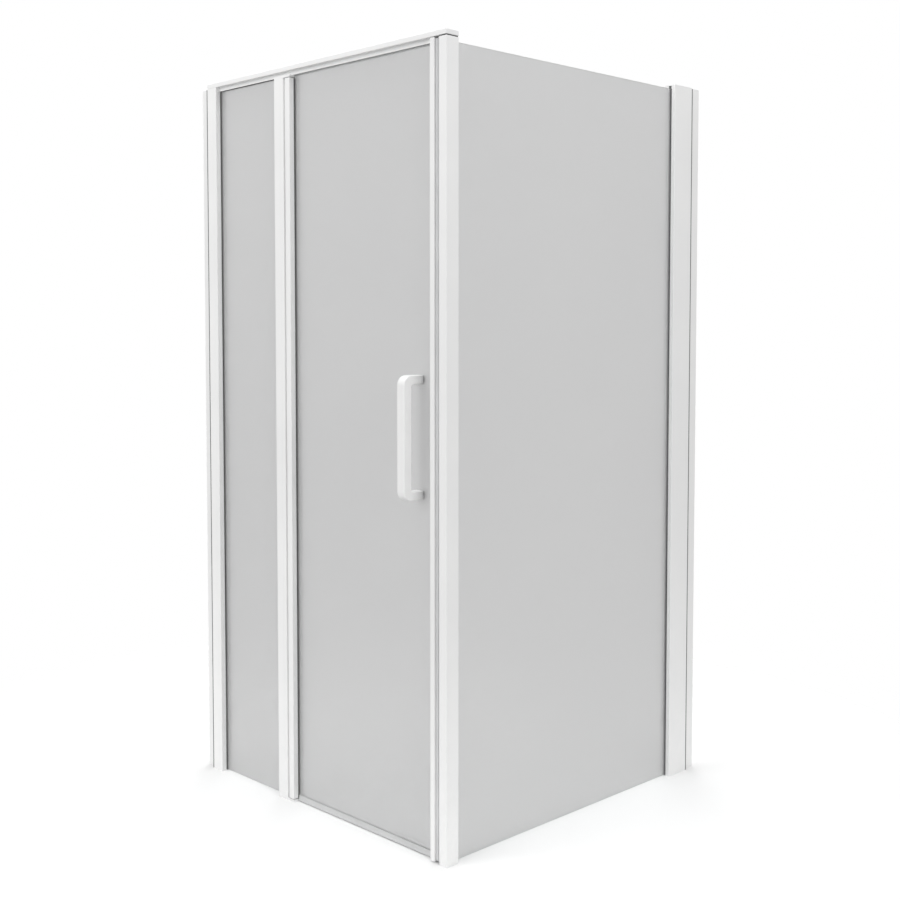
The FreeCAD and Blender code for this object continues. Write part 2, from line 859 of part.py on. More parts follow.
def handle_outline():
    """Closed side outline of the bow handle, as distances off the glass and heights."""
    foot = handle_pad
    reach = handle_reach
    hollow = handle_reach - handle_grip
    bend = handle_bend_radius
    turn = handle_inner_radius
    outer = (handle_centres + handle_leg) / 2
    inner = (handle_centres - handle_leg) / 2
    cut = math.sqrt(0.5)
    outer_mid = (reach - bend + bend * cut, outer - bend + bend * cut)
    inner_mid = (hollow - turn + turn * cut, inner - turn + turn * cut)
    return [
        ("line", (foot, -outer), (reach - bend, -outer)),
        ("arc", (reach - bend, -outer), (outer_mid[0], -outer_mid[1]), (reach, -outer + bend)),
        ("line", (reach, -outer + bend), (reach, outer - bend)),
        ("arc", (reach, outer - bend), outer_mid, (reach - bend, outer)),
        ("line", (reach - bend, outer), (foot, outer)),
        ("line", (foot, outer), (foot, inner)),
        ("line", (foot, inner), (hollow - turn, inner)),
        ("arc", (hollow - turn, inner), inner_mid, (hollow, inner - turn)),
        ("line", (hollow, inner - turn), (hollow, -inner + turn)),
        ("arc", (hollow, -inner + turn), (inner_mid[0], -inner_mid[1]), (hollow - turn, -inner)),
        ("line", (hollow - turn, -inner), (foot, -inner)),
        ("line", (foot, -inner), (foot, -outer)),
    ]


def handle_bar():
    """Bow handle on the outer face of the door."""
    origin = point(front, handle_u - handle_width / 2, front_glass_face, handle_height)

    def spot(pair):
        return origin + Vector(0, -pair[0], pair[1])

    edges = []
    for kind, *pairs in handle_outline():
        spots = [spot(pair) for pair in pairs]
        edges.append(Part.Arc(*spots).toShape() if kind == "arc" else Part.LineSegment(*spots).toShape())
    body = Part.Face(Part.Wire(edges)).extrude(Vector(handle_width, 0, 0))
    foot_y = origin.y - handle_pad
    rims = [
        edge
        for edge in body.Edges
        if edge.BoundBox.XLength < press_gap and abs(edge.CenterOfMass.y - foot_y) > press_gap
    ]
    body = body.makeFillet(handle_edge_radius, rims)
    outward = along_v(front) * -1
    drill = handle_bolt_grip + handle_pad
    holes = [
        rod(point(front, handle_u, front_glass_face, z), outward, drill, handle_bolt_radius + press_gap)
        for z in handle_bolt_heights()
    ]
    return body.cut(holes)


def handle_pads():
    """Thin pads between the glass and the handle legs outside and the rosettes inside."""
    pads = []
    for z in handle_bolt_heights():
        start = point(front, handle_u, 0, z)
        bore = rod(start, along_v(front), front_frame_depth, handle_bolt_radius + fit_gap)
        face = (front_glass_face - handle_pad, front_glass_face)
        outer = slab(front, about(handle_u, handle_width), face, about(z, handle_leg))
        inner = rod(point(front, handle_u, front_glass_back, z), along_v(front), handle_pad, rosette_radius)
        pads += [outer.cut(bore), inner.cut(bore)]
    return Part.makeCompound(pads)


def handle_sleeves():
    """Plastic sleeves that keep the bolts off the glass."""
    sleeves = []
    for z in handle_bolt_heights():
        start = point(front, handle_u, front_glass_face, z)
        tube = rod(start, along_v(front), glass_thickness, sleeve_radius)
        sleeves.append(tube.cut(rod(start, along_v(front), glass_thickness, handle_bolt_radius + fit_gap)))
    return Part.makeCompound(sleeves)


def handle_rosettes():
    """Round covers on the inner face of the door under the bolt heads."""
    rosettes = []
    for z in handle_bolt_heights():
        start = point(front, handle_u, front_glass_back + handle_pad, z)
        inner = start + along_v(front) * rosette_height
        disc = rod(start, along_v(front), rosette_height, rosette_radius)
        rim = [edge for edge in disc.Edges if edge.Closed and edge.CenterOfMass.isEqual(inner, press_gap)]
        disc = disc.makeFillet(rosette_round, rim)
        bore = rod(start, along_v(front), rosette_height, handle_bolt_radius + fit_gap)
        seat = start + along_v(front) * rosette_floor
        room = rod(seat, along_v(front), rosette_height, bolt_head_radius + fit_gap)
        rosettes.append(disc.cut([bore, room]))
    return Part.makeCompound(rosettes)


def handle_bolts():
    """Bolts from inside through rosette, glass and pad into the handle legs."""
    bolts = []
    outward = along_v(front) * -1
    grip = rosette_floor + handle_pad + glass_thickness + handle_bolt_grip
    for z in handle_bolt_heights():
        seat = point(front, handle_u, front_glass_back + handle_pad + rosette_floor, z)
        head_top = seat - outward * bolt_head_height
        head = rod(seat, outward * -1, bolt_head_height, bolt_head_radius)
        head = head.cut(hex_bar(head_top, outward, bolt_socket_depth, bolt_socket_width))
        bolts.append(joined(head, rod(seat, outward, grip, handle_bolt_radius)))
    return Part.makeCompound(bolts)


# Corner post

corner_chamber_u = (corner_left + track_lip + track_head_depth + profile_wall, front_width - profile_wall)
corner_chamber_v = (profile_wall, front_frame_depth - pocket_depth - profile_wall)


def side_pocket_cut(z_span):
    """Glass pocket in the back of the corner post."""
    return slab(side, (side_post_face - overrun, side_post_face + pocket_depth), side_slot, past(z_span))


def corner_post():
    """Upright at the corner: closing strip on one face, side pane in the other."""
    z_span = (corner_bottom, corner_top)
    body = upright(front, (corner_left, front_width), (0, front_frame_depth), z_span)
    rear_u = (front_width - side_slot[0] + profile_wall, front_width - profile_wall)
    rear_v = (front_frame_depth - pocket_depth, front_frame_depth - profile_wall)
    hollows = chambers(front, [(corner_chamber_u, corner_chamber_v), (rear_u, rear_v)], z_span)
    return body.cut(hollows + [side_pocket_cut(z_span)] + seal_track(corner_left, 1, z_span))


def corner_spigot(z_span):
    """Block that fills the hollow of the corner post."""
    return slab(front, inset(corner_chamber_u, fit_gap), inset(corner_chamber_v, fit_gap), z_span)


def corner_post_foot():
    """Foot under the corner post."""
    plate = upright(front, (corner_left, front_width), (0, front_frame_depth), (0, foot_plate))
    spigot = corner_spigot((foot_plate, foot_plate + spigot_length))
    return joined(plate.cut(side_pocket_cut((0, foot_plate))), spigot)


def header_corner_connector():
    """Dark joint between the corner post and the header, a little smaller than both."""
    u_span = inset((corner_left, front_width), connector_inset)
    plate = slab(front, u_span, inset((0, front_frame_depth), connector_inset), (corner_top, frame_top))
    spigot = corner_spigot((corner_top - spigot_length, corner_top))
    seat = header_screw_seats()[-1]
    pilot = rod(seat, Vector(0, 0, -1), header_screw_length, screw_radius + press_gap)
    return joined(plate, spigot).cut(pilot)


# Header

header_left = adjust_left + header_cap
header_right = front_width - header_cap


def header_screw_seats():
    """Seats of the header screws over the adjusting profile, the hinge post and the corner post."""
    seat_z = frame_top + header_wall
    return [
        point(front, adjust_left + channel_overlap / 2, port_place(front_frame_depth), seat_z),
        point(front, post_screw_u, front_middle, seat_z),
        point(front, sum(corner_chamber_u) / 2, sum(corner_chamber_v) / 2, seat_z),
    ]


def header_rail():
    """Hollow rail over the front with a slotted lip for the fixed pane and the door seal."""
    v_span = (0, front_frame_depth)
    z_span = (frame_top, total_height)
    rail = slab(front, (header_left, header_right), v_span, z_span)
    rail = softened(rail, profile_edge_radius, along_u(front))
    chamber_u = past((header_left, header_right))
    chamber = slab(front, chamber_u, inset(v_span, header_wall), inset(z_span, header_wall))
    lip_u = (adjust_right, close_left - header_lip_end_gap)
    lip = slab(front, lip_u, inset(front_slot, -header_lip_wall), (lip_bottom, frame_top))
    slot = slab(front, past(lip_u), front_slot, (lip_bottom - overrun, frame_top))
    down = Vector(0, 0, -1)
    holes = [rod(seat, down, header_wall, screw_radius + screw_gap) for seat in header_screw_seats()]
    holes += [rod(seat, down * -1, header_height, plug_radius) for seat in header_screw_seats()]
    return joined(rail.cut(chamber), lip.cut(slot)).cut(holes)


def header_screws():
    """Screws that hold the header down, driven through holes in its top."""
    down = Vector(0, 0, -1)
    length = header_screw_length - screw_tip
    return Part.makeCompound([pan_screw(seat, down, length) for seat in header_screw_seats()])


def header_screw_plugs():
    """Flush plugs in the holes over the header screws."""
    plugs = []
    for seat in header_screw_seats():
        start = Vector(seat.x, seat.y, total_height - header_wall)
        plugs.append(rod(start, Vector(0, 0, 1), header_wall, plug_radius - fit_gap / 2))
    return Part.makeCompound(plugs)


def header_end_cap(outer_u, inner_u, plug_u):
    """Cap with a plug on one end of the header, rounded all round its outer face."""
    z_span = (frame_top, total_height)
    plate = slab(front, sorted((outer_u, inner_u)), (0, front_frame_depth), z_span)
    inner_x = front(inner_u, 0).x
    edges = [edge for edge in plate.Edges if abs(edge.CenterOfMass.x - inner_x) > press_gap]
    plate = plate.makeFillet(profile_edge_radius, edges)
    room_v = inset((0, front_frame_depth), header_wall + fit_gap)
    return joined(plate, slab(front, plug_u, room_v, inset(z_span, header_wall + fit_gap)))


def header_wall_end_cap():
    """Cap on the wall end of the header."""
    room = header_screw_seats()[0].x - left_wall_x - plug_radius - fit_gap
    return header_end_cap(adjust_left, header_left, (header_left, room))


def header_corner_cap():
    """Cap on the corner end of the header."""
    room = header_screw_seats()[-1].x - left_wall_x + plug_radius + fit_gap
    return header_end_cap(front_width, header_right, (room, header_right))


def header_gasket(glass_v, away):
    """Gasket on one face of the fixed pane along the header, with a rounded bead below the lip."""
    strip_u = (adjust_right, post_left + glass_bite)
    strip_v = sorted((glass_v, glass_v + away * gasket_thickness))
    bead_u = inset((adjust_right, post_left), gasket_bead_width)
    bead_face = glass_v + away * gasket_bead_height
    bead_low = lip_bottom - gasket_bead_width
    strip = slab(front, strip_u, strip_v, (lip_bottom, fixed_glass_top))
    bead = slab(front, bead_u, sorted((glass_v, bead_face)), (bead_low, lip_bottom))
    bead = rounded_at(bead, gasket_bead_radius, along_u(front), point(front, 0, bead_face, bead_low))
    return joined(strip, bead)


def header_glass_gaskets():
    """Gaskets along the top of the fixed pane, in the header slot."""
    return Part.makeCompound([header_gasket(front_glass_face, -1), header_gasket(front_glass_back, 1)])


def header_door_seal():
    """Clear strip in the header slot with a fin over the top edge of the door pane."""
    u_span = (hinge_right + door_notch_gap, close_left - header_lip_end_gap)
    head = slab(front, u_span, inset(front_slot, track_gap), (lip_bottom, frame_top - fit_gap))
    fin_z = (door_glass_top + header_seal_gap, lip_bottom)
    fin = slab(front, u_span, about(front_middle, header_seal_fin), fin_z)
    return joined(head, fin)


# All pieces by node name

fixed_slot_z = (glass_floor_gap, lip_bottom)
side_slot_z = (glass_floor_gap, side_glass_top)
hinge_slot_z = (door_glass_bottom, door_notch)
close_slot_z = (door_glass_bottom, door_glass_top)
close_strip_z = (close_bottom, close_top)
post_strip_z = (corner_bottom, corner_top)

pieces = {
    "front_wall_channel": wall_channel(front, front_channel_show, front_frame_depth),
    "front_channel_cap": channel_cap(front, front_channel_show, front_frame_depth),
    "front_channel_wipers": channel_wipers(front, front_channel_show, front_frame_depth),
    "front_adjust_profile": adjust_profile(
        front, front_channel_show, front_adjust_width, front_frame_depth, frame_top, True
    ),
    "front_adjust_screws": adjust_screws(front, front_channel_show, front_frame_depth),
    "front_adjust_screw_caps": adjust_screw_caps(front, front_channel_show, front_frame_depth),
    "fixed_glass": fixed_glass(),
    "fixed_glass_wall_gaskets": glazing(front, adjust_right, 1, front_frame_depth, fixed_slot_z),
    "fixed_glass_post_gaskets": glazing(front, post_left, -1, front_frame_depth, fixed_slot_z),
    "fixed_glass_setting_blocks": fixed_glass_setting_blocks(),
    "hinge_post": hinge_post(),
    "hinge_gap_seal": hinge_gap_seal(),
    "lower_pivot_bracket": lower_pivot_bracket(),
    "lower_pivot_pin": lower_pivot_pin(),
    "upper_pivot_bracket": upper_pivot_bracket(),
    "upper_pivot_pin": upper_pivot_pin(),
    "pivot_bracket_screws": pivot_bracket_screws(),
    "corner_post": corner_post(),
    "corner_post_foot": corner_post_foot(),
    "post_magnet_carrier": magnet_carrier(corner_left, -1, post_strip_z),
    "post_magnet_core": magnet_core(corner_left, -1, post_strip_z),
    "header_rail": header_rail(),
    "header_wall_end_cap": header_wall_end_cap(),
    "header_corner_cap": header_corner_cap(),
    "header_corner_connector": header_corner_connector(),
    "header_screws": header_screws(),
    "header_screw_plugs": header_screw_plugs(),
    "header_glass_gaskets": header_glass_gaskets(),
    "header_door_seal": header_door_seal(),
    "side_glass": side_glass(),
    "side_glass_post_gaskets": glazing(side, side_post_face, -1, side_frame_depth, side_slot_z),
    "side_glass_wall_gaskets": glazing(side, side_adjust_right, 1, side_frame_depth, side_slot_z),
    "side_glass_setting_blocks": side_glass_setting_blocks(),
    "side_adjust_profile": adjust_profile(
        side, side_channel_show, side_adjust_width, side_frame_depth, channel_top, False
    ),
    "side_profile_cap": side_profile_cap(),
    "side_adjust_screws": adjust_screws(side, side_channel_show, side_frame_depth),
    "side_adjust_screw_caps": adjust_screw_caps(side, side_channel_show, side_frame_depth),
    "side_wall_channel": wall_channel(side, side_channel_show, side_frame_depth),
    "side_channel_cap": channel_cap(side, side_channel_show, side_frame_depth),
    "side_channel_wipers": channel_wipers(side, side_channel_show, side_frame_depth),
    "door_hinge_profile": door_hinge_profile(),
    "lower_pivot_bush": lower_pivot_bush(),
    "upper_pivot_bush": upper_pivot_bush(),
    "door_glass": door_glass(),
    "door_hinge_gaskets": glazing(front, hinge_right, 1, front_frame_depth, hinge_slot_z),
    "door_close_gaskets": glazing(front, close_left, -1, front_frame_depth, close_slot_z),
    "door_close_profile": door_close_profile(),
    "door_close_caps": door_close_caps(),
    "door_magnet_carrier": magnet_carrier(close_right, 1, close_strip_z),
    "door_magnet_core": magnet_core(close_right, 1, close_strip_z),
    "door_bottom_seal": door_bottom_seal(),
    "handle_bar": handle_bar(),
    "handle_pads": handle_pads(),
    "handle_sleeves": handle_sleeves(),
    "handle_rosettes": handle_rosettes(),
    "handle_bolts": handle_bolts(),
}

os.makedirs("parts", exist_ok=True)
for name, shape in pieces.items():
    shape.exportStep("parts/" + name + ".step")
    print(name, len(shape.Solids), round(shape.Volume, 1), shape.isValid())
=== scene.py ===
"""Looks of a corner shower enclosure with a hinged door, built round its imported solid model."""

import json
import logging
import math
from abc import ABC, abstractmethod
from dataclasses import dataclass, field, replace
from enum import Enum

import bmesh
import bpy
from mathutils import Matrix, Vector


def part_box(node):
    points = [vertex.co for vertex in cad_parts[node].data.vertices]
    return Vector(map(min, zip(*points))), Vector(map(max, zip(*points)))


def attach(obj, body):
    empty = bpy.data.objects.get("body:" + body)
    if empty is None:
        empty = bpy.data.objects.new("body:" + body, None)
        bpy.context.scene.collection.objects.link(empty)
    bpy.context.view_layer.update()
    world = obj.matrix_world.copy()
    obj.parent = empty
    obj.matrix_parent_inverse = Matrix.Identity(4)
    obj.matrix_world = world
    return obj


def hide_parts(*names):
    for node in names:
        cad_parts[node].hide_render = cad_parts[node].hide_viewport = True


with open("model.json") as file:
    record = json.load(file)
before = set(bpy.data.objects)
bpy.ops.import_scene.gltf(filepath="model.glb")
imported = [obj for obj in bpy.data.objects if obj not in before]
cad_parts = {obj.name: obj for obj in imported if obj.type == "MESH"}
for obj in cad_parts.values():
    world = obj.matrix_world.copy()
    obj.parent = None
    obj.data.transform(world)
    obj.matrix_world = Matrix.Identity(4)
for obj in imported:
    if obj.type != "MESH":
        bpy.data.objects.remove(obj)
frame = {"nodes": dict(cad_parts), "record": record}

LOG = logging.getLogger("shower_enclosure")

Colour = tuple[float, float, float, float]
Pair = tuple[float, float]
Place = tuple[float, float, float]
Node = bpy.types.Node
Socket = bpy.types.NodeSocket
Level = float | Socket
MeshPart = bmesh.types.BMVert | bmesh.types.BMEdge | bmesh.types.BMFace


# Names that the script chooses among


class Body(Enum):
    """Moving bodies of the enclosure."""

    FRAME = "frame"
    DOOR = "door"


class Slot(Enum):
    """Material slots of the enclosure's record."""

    WHITE_COAT = "white_coat"
    SATIN_GLASS = "satin_glass"
    DARK_GASKET = "dark_gasket"
    WHITE_PLASTIC = "white_plastic"
    CLEAR_SEAL = "clear_seal"
    MAGNET_STRIP = "magnet_strip"
    STAINLESS = "stainless"
    GREY_NYLON = "grey_nylon"
    DARK_PLASTIC = "dark_plastic"


class Axis(Enum):
    """Axes of the shared frame, by the name of their vector component."""

    X = "X"
    Y = "Y"
    Z = "Z"

    def direction(self) -> Vector:
        """Unit vector along the axis."""
        return Vector([float(self is axis) for axis in Axis])

    def drawn(self, share: float) -> Place:
        """Scales that draw a pattern out along the axis, whose own scale is the share."""
        return tuple(share if self is axis else 1.0 for axis in Axis)


class Way(Enum):
    """Which way a piece stands along an axis."""

    ALONG = 1.0
    AGAINST = -1.0


class SocketKind(Enum):
    """Kinds of sockets that the shared effects have."""

    COLOUR = "NodeSocketColor"
    VALUE = "NodeSocketFloat"
    VECTOR = "NodeSocketVector"


class Operation(Enum):
    """Operations that work a value out in a material, by Blender's name."""

    ABSOLUTE = "ABSOLUTE"
    MAXIMUM = "MAXIMUM"
    MULTIPLY = "MULTIPLY"
    MULTIPLY_ADD = "MULTIPLY_ADD"


class Rounding(Enum):
    """What a rounding works on, by its name in the bevel operator."""

    CORNERS = "VERTICES"
    EDGES = "EDGES"


NODE_SLOTS: dict[str, Slot] = {
    part["node"]: Slot(part["material_slot"]) for part in frame["record"]["subparts"]
}


def show(name: str, data: bpy.types.ID) -> bpy.types.Object:
    """Puts an object into the scene.

    Args:
        name: Name of the object.
        data: Mesh, lamp or camera that it holds.

    Returns:
        The new object, at the origin.
    """
    shown = bpy.data.objects.new(name, data)
    bpy.context.scene.collection.objects.link(shown)
    return shown


# Surface effects that the finishes share


@dataclass(frozen=True)
class Grit:
    """How broken a noise is."""

    detail: float
    roughness: float
    distortion: float = 0.0


class NodeSheet:
    """A node tree with short calls for adding and joining nodes."""

    # A mix node has several sockets of one name, so a colour mix takes its own by number.
    colour_mix_inputs: tuple[int, int, int] = (0, 6, 7)
    colour_mix_output: int = 2

    def __init__(self, tree: bpy.types.NodeTree) -> None:
        """Wraps the tree of a material, a world or a group, and clears it."""
        self.tree = tree
        self.tree.nodes.clear()

    def add(self, kind: str, values: dict[str, object] | None = None, **settings: object) -> Node:
        """Adds a node.

        Args:
            kind: Blender's type name of the node.
            values: Plain values of the node's inputs, by name.
            settings: Properties of the node, by name.

        Returns:
            The new node.
        """
        node = self.tree.nodes.new(kind)
        for name, setting in settings.items():
            setattr(node, name, setting)
        for name, value in (values or {}).items():
            node.inputs[name].default_value = value
        return node

    def feed(self, target: Socket, source: object) -> None:
        """Links an output to an input, or sets the input where the source is a plain value.

        Args:
            target: Input to feed.
            source: Output, or plain value.
        """
        if isinstance(source, Socket):
            self.tree.links.new(source, target)
        else:
            target.default_value = source

    def maths(self, operation: Operation, *terms: Level) -> Socket:
        """Works a value out.

        Args:
            operation: Operation to use.
            terms: Outputs or plain values that it takes, in order.

        Returns:
            Output with the value.
        """
        node = self.add("ShaderNodeMath", operation=operation.value)
        for target, term in zip(node.inputs, terms):
            self.feed(target, term)
        return node.outputs["Value"]

    def component(self, vector: Socket, axis: Axis) -> Socket:
        """Takes one component out of a vector.

        Args:
            vector: Output with the vector.
            axis: Axis of the component.

        Returns:
            Output with the component.
        """
        split = self.add("ShaderNodeSeparateXYZ")
        self.feed(split.inputs["Vector"], vector)
        return split.outputs[axis.value]

    def noise(self, place: Socket, scale: Socket, grit: Grit) -> Socket:
        """Adds a noise.

        Args:
            place: Output with the coordinates that the noise is taken in.
            scale: Output with its scale.
            grit: How broken it is.

        Returns:
            Output with the noise, from 0 to 1.
        """
        values = {"Detail": grit.detail, "Roughness": grit.roughness, "Distortion": grit.distortion}
        node = self.add("ShaderNodeTexNoise", values)
        self.feed(node.inputs["Vector"], place)
        self.feed(node.inputs["Scale"], scale)
        return node.outputs["Fac"]

    def fit(
        self,
        value: Socket,
        source: tuple[Level, Level] = (0.0, 1.0),
        target: tuple[Level, Level] = (0.0, 1.0),
        smooth: bool = False,
    ) -> Socket:
        """Maps one range of values onto another.

        Args:
            value: Output to map.
            source: Ends of the range that it comes in, as plain values or outputs.
            target: Ends of the range that it leaves in, as plain values or outputs.
            smooth: Whether the ends are eased.

        Returns:
            Output with the mapped value.
        """
        course = "SMOOTHSTEP" if smooth else "LINEAR"
        node = self.add("ShaderNodeMapRange", interpolation_type=course)
        self.feed(node.inputs["Value"], value)
        for name, level in zip(("From Min", "From Max", "To Min", "To Max"), source + target):
            self.feed(node.inputs[name], level)
        return node.outputs["Result"]

    def blend_colours(self, share: Socket, low: object, high: object) -> Socket:
        """Mixes two colours.

        Args:
            share: Output that gives the share of the second colour.
            low: First colour, or an output that gives it.
            high: Second colour, or an output that gives it.

        Returns:
            Output with the mixed colour.
        """
        mix = self.add("ShaderNodeMix", data_type="RGBA")
        for number, source in zip(self.colour_mix_inputs, (share, low, high)):
            self.feed(mix.inputs[number], source)
        return mix.outputs[self.colour_mix_output]

    def blend_shaders(self, share: Socket, low: Socket, high: Socket) -> Socket:
        """Mixes two shaders.

        Args:
            share: Output that gives the share of the second shader.
            low: Output of the first shader.
            high: Output of the second shader.

        Returns:
            Output with the mixed shader.
        """
        mix = self.add("ShaderNodeMixShader")
        for target, source in zip(mix.inputs, (share, low, high)):
            self.feed(target, source)
        return mix.outputs["Shader"]


@dataclass(frozen=True)
class GroupSocket:
    """Named socket of a shared effect, with the value that an input starts at."""

    label: str
    kind: SocketKind
    value: object = None


class Effect(ABC):
    """A surface effect that several finishes share, kept as one node group."""

    name: str
    inputs: tuple[GroupSocket, ...]
    output: GroupSocket
    grit: Grit

    def __init__(self) -> None:
        """Builds the group with its named sockets."""
        self.group = bpy.data.node_groups.new(self.name, "ShaderNodeTree")
        sockets = self.group.interface
        for given in self.inputs:
            made = sockets.new_socket(given.label, in_out="INPUT", socket_type=given.kind.value)
            made.default_value = given.value
        kind = self.output.kind.value
        sockets.new_socket(self.output.label, in_out="OUTPUT", socket_type=kind)
        sheet = NodeSheet(self.group)
        entry = sheet.add("NodeGroupInput")
        leave = sheet.add("NodeGroupOutput")
        place = sheet.add("ShaderNodeTexCoord").outputs["Object"]
        sheet.feed(leave.inputs[self.output.label], self.draw(sheet, entry, place))

    @abstractmethod
    def draw(self, sheet: NodeSheet, entry: Node, place: Socket) -> Socket:
        """Adds the nodes of the effect.

        Args:
            sheet: Sheet of the group.
            entry: Node that holds the group's inputs.
            place: Output with the object's own coordinates, in metres.

        Returns:
            Output with the effect.
        """

    def put(self, sheet: NodeSheet, **values: object) -> Socket:
        """Places the effect in a material's sheet, with values of the group's inputs by name."""
        node = sheet.add("ShaderNodeGroup", values, node_tree=self.group)
        return node.outputs[self.output.label]


class ToneDrift(Effect):
    """Slow change between two tones of one colour."""

    name = "tone_drift"
    inputs = (
        GroupSocket("Light", SocketKind.COLOUR, (0.8, 0.8, 0.8, 1.0)),
        GroupSocket("Deep", SocketKind.COLOUR, (0.7, 0.7, 0.7, 1.0)),
        GroupSocket("Scale", SocketKind.VALUE, 4.0),
    )
    output = GroupSocket("Color", SocketKind.COLOUR)
    grit = Grit(detail=5.0, roughness=0.55)
    band: Pair = (0.3, 0.7)

    def draw(self, sheet: NodeSheet, entry: Node, place: Socket) -> Socket:
        """Mixes the two tones by a soft noise.

        Args:
            sheet: Sheet of the group.
            entry: Node that holds the two tones and the scale.
            place: Output with the object's own coordinates, in metres.

        Returns:
            Output with the colour.
        """
        noise = sheet.noise(place, entry.outputs["Scale"], self.grit)
        share = sheet.fit(noise, source=self.band, smooth=True)
        return sheet.blend_colours(share, entry.outputs["Deep"], entry.outputs["Light"])


class GlossDrift(Effect):
    """Roughness that wanders between two values."""

    name = "gloss_drift"
    inputs = (
        GroupSocket("Low", SocketKind.VALUE, 0.3),
        GroupSocket("High", SocketKind.VALUE, 0.4),
        GroupSocket("Scale", SocketKind.VALUE, 12.0),
    )
    output = GroupSocket("Roughness", SocketKind.VALUE)
    grit = Grit(detail=6.0, roughness=0.6, distortion=0.4)
    band: Pair = (0.25, 0.75)

    def draw(self, sheet: NodeSheet, entry: Node, place: Socket) -> Socket:
        """Maps a broken noise onto the two values.

        Args:
            sheet: Sheet of the group.
            entry: Node that holds the two values and the scale.
            place: Output with the object's own coordinates, in metres.

        Returns:
            Output with the roughness.
        """
        noise = sheet.noise(place, entry.outputs["Scale"], self.grit)
        ends = (entry.outputs["Low"], entry.outputs["High"])
        return sheet.fit(noise, source=self.band, target=ends)


class FineGrain(Effect):
    """Fine relief, round as the skin of a coating or drawn out along one way."""

    name = "fine_grain"
    inputs = (
        GroupSocket("Scale", SocketKind.VALUE, 900.0),
        GroupSocket("Drawing", SocketKind.VECTOR, (1.0, 1.0, 1.0)),
    )
    output = GroupSocket("Height", SocketKind.VALUE)
    grit = Grit(detail=3.0, roughness=0.5)

    def draw(self, sheet: NodeSheet, entry: Node, place: Socket) -> Socket:
        """Takes a noise in coordinates that are squeezed along the drawing direction.

        Args:
            sheet: Sheet of the group.
            entry: Node that holds the scale and the drawing of each axis.
            place: Output with the object's own coordinates, in metres.

        Returns:
            Output with the height.
        """
        squeeze = sheet.add("ShaderNodeVectorMath", operation="MULTIPLY")
        sheet.feed(squeeze.inputs[0], place)
        sheet.feed(squeeze.inputs[1], entry.outputs["Drawing"])
        return sheet.noise(squeeze.outputs["Vector"], entry.outputs["Scale"], self.grit)


class SplashHaze(Effect):
    """Faint dried splashes that thin out with height above the tray."""

    name = "splash_haze"
    inputs = (
        GroupSocket("Reach", SocketKind.VALUE, 0.5),
        GroupSocket("Scale", SocketKind.VALUE, 30.0),
        GroupSocket("Amount", SocketKind.VALUE, 0.3),
    )
    output = GroupSocket("Mask", SocketKind.VALUE)
    grit = Grit(detail=8.0, roughness=0.7)
    band: Pair = (0.45, 0.75)

    def draw(self, sheet: NodeSheet, entry: Node, place: Socket) -> Socket:
        """Multiplies a spotted noise by a ramp that ends at the reach.

        Args:
            sheet: Sheet of the group.
            entry: Node that holds the reach, the scale and the amount.
            place: Output with the object's own coordinates, in metres.

        Returns:
            Output with the share of haze.
        """
        height = sheet.component(place, Axis.Z)
        ends = (0.0, entry.outputs["Reach"])
        ramp = sheet.fit(height, source=ends, target=(1.0, 0.0), smooth=True)
        noise = sheet.noise(place, entry.outputs["Scale"], self.grit)
        low_spots = sheet.maths(Operation.MULTIPLY, ramp, sheet.fit(noise, source=self.band))
        return sheet.maths(Operation.MULTIPLY, low_spots, entry.outputs["Amount"])


@dataclass(frozen=True)
class Effects:
    """All shared effects, each built once."""

    tone: ToneDrift = field(default_factory=ToneDrift)
    gloss: GlossDrift = field(default_factory=GlossDrift)
    grain: FineGrain = field(default_factory=FineGrain)
    haze: SplashHaze = field(default_factory=SplashHaze)


# Finishes


@dataclass(frozen=True)
class Tones:
    """Two tones of one colour, and the scale at which a surface wanders between them."""

    light: Colour
    deep: Colour
    scale: float


@dataclass(frozen=True)
class Gloss:
    """Two roughnesses, and the scale at which a surface wanders between them."""

    low: float
    high: float
    scale: float


@dataclass(frozen=True)
class Grain:
    """Scale, strength and height, in metres, of a fine relief."""

    scale: float
    strength: float
    height: float


@dataclass(frozen=True)
class Finish(ABC):
    """A finish of the enclosure: two tones, a gloss range and a fine relief."""

    name: str
    tones: Tones
    gloss: Gloss
    grain: Grain

    def material(self, effects: Effects) -> bpy.types.Material:
        """Makes the material.

        Args:
            effects: Shared effects.

        Returns:
            The finished material.
        """
        made = bpy.data.materials.new(self.name)
        made.use_nodes = True
        sheet = NodeSheet(made.node_tree)
        shader = sheet.add("ShaderNodeBsdfPrincipled", self.plain_values())
        sheet.feed(shader.inputs["Base Color"], self.colour(sheet, effects))
        gloss = self.gloss
        wander = effects.gloss.put(sheet, Low=gloss.low, High=gloss.high, Scale=gloss.scale)
        sheet.feed(shader.inputs["Roughness"], wander)
        depth = {"Strength": self.grain.strength, "Distance": self.grain.height}
        bump = sheet.add("ShaderNodeBump", depth)
        sheet.feed(bump.inputs["Height"], self.relief(sheet, effects))
        sheet.feed(shader.inputs["Normal"], bump.outputs["Normal"])
        leave = sheet.add("ShaderNodeOutputMaterial")
        sheet.feed(leave.inputs["Surface"], self.surface(sheet, shader))
        return made

    def plain_values(self) -> dict[str, float]:
        """Values of the shader that are the same all over, by input; none by default."""
        return {}

    def colour(self, sheet: NodeSheet, effects: Effects) -> Socket:
        """Output with the colour, by default a drift between the two tones."""
        tones = self.tones
        return effects.tone.put(sheet, Light=tones.light, Deep=tones.deep, Scale=tones.scale)

    def relief(self, sheet: NodeSheet, effects: Effects) -> Socket:
        """Output with the fine relief, by default round grain."""
        return effects.grain.put(sheet, Scale=self.grain.scale)

    def surface(self, sheet: NodeSheet, shader: Node) -> Socket:
        """Output that the material ends in, by default the shader itself."""
        return shader.outputs["BSDF"]


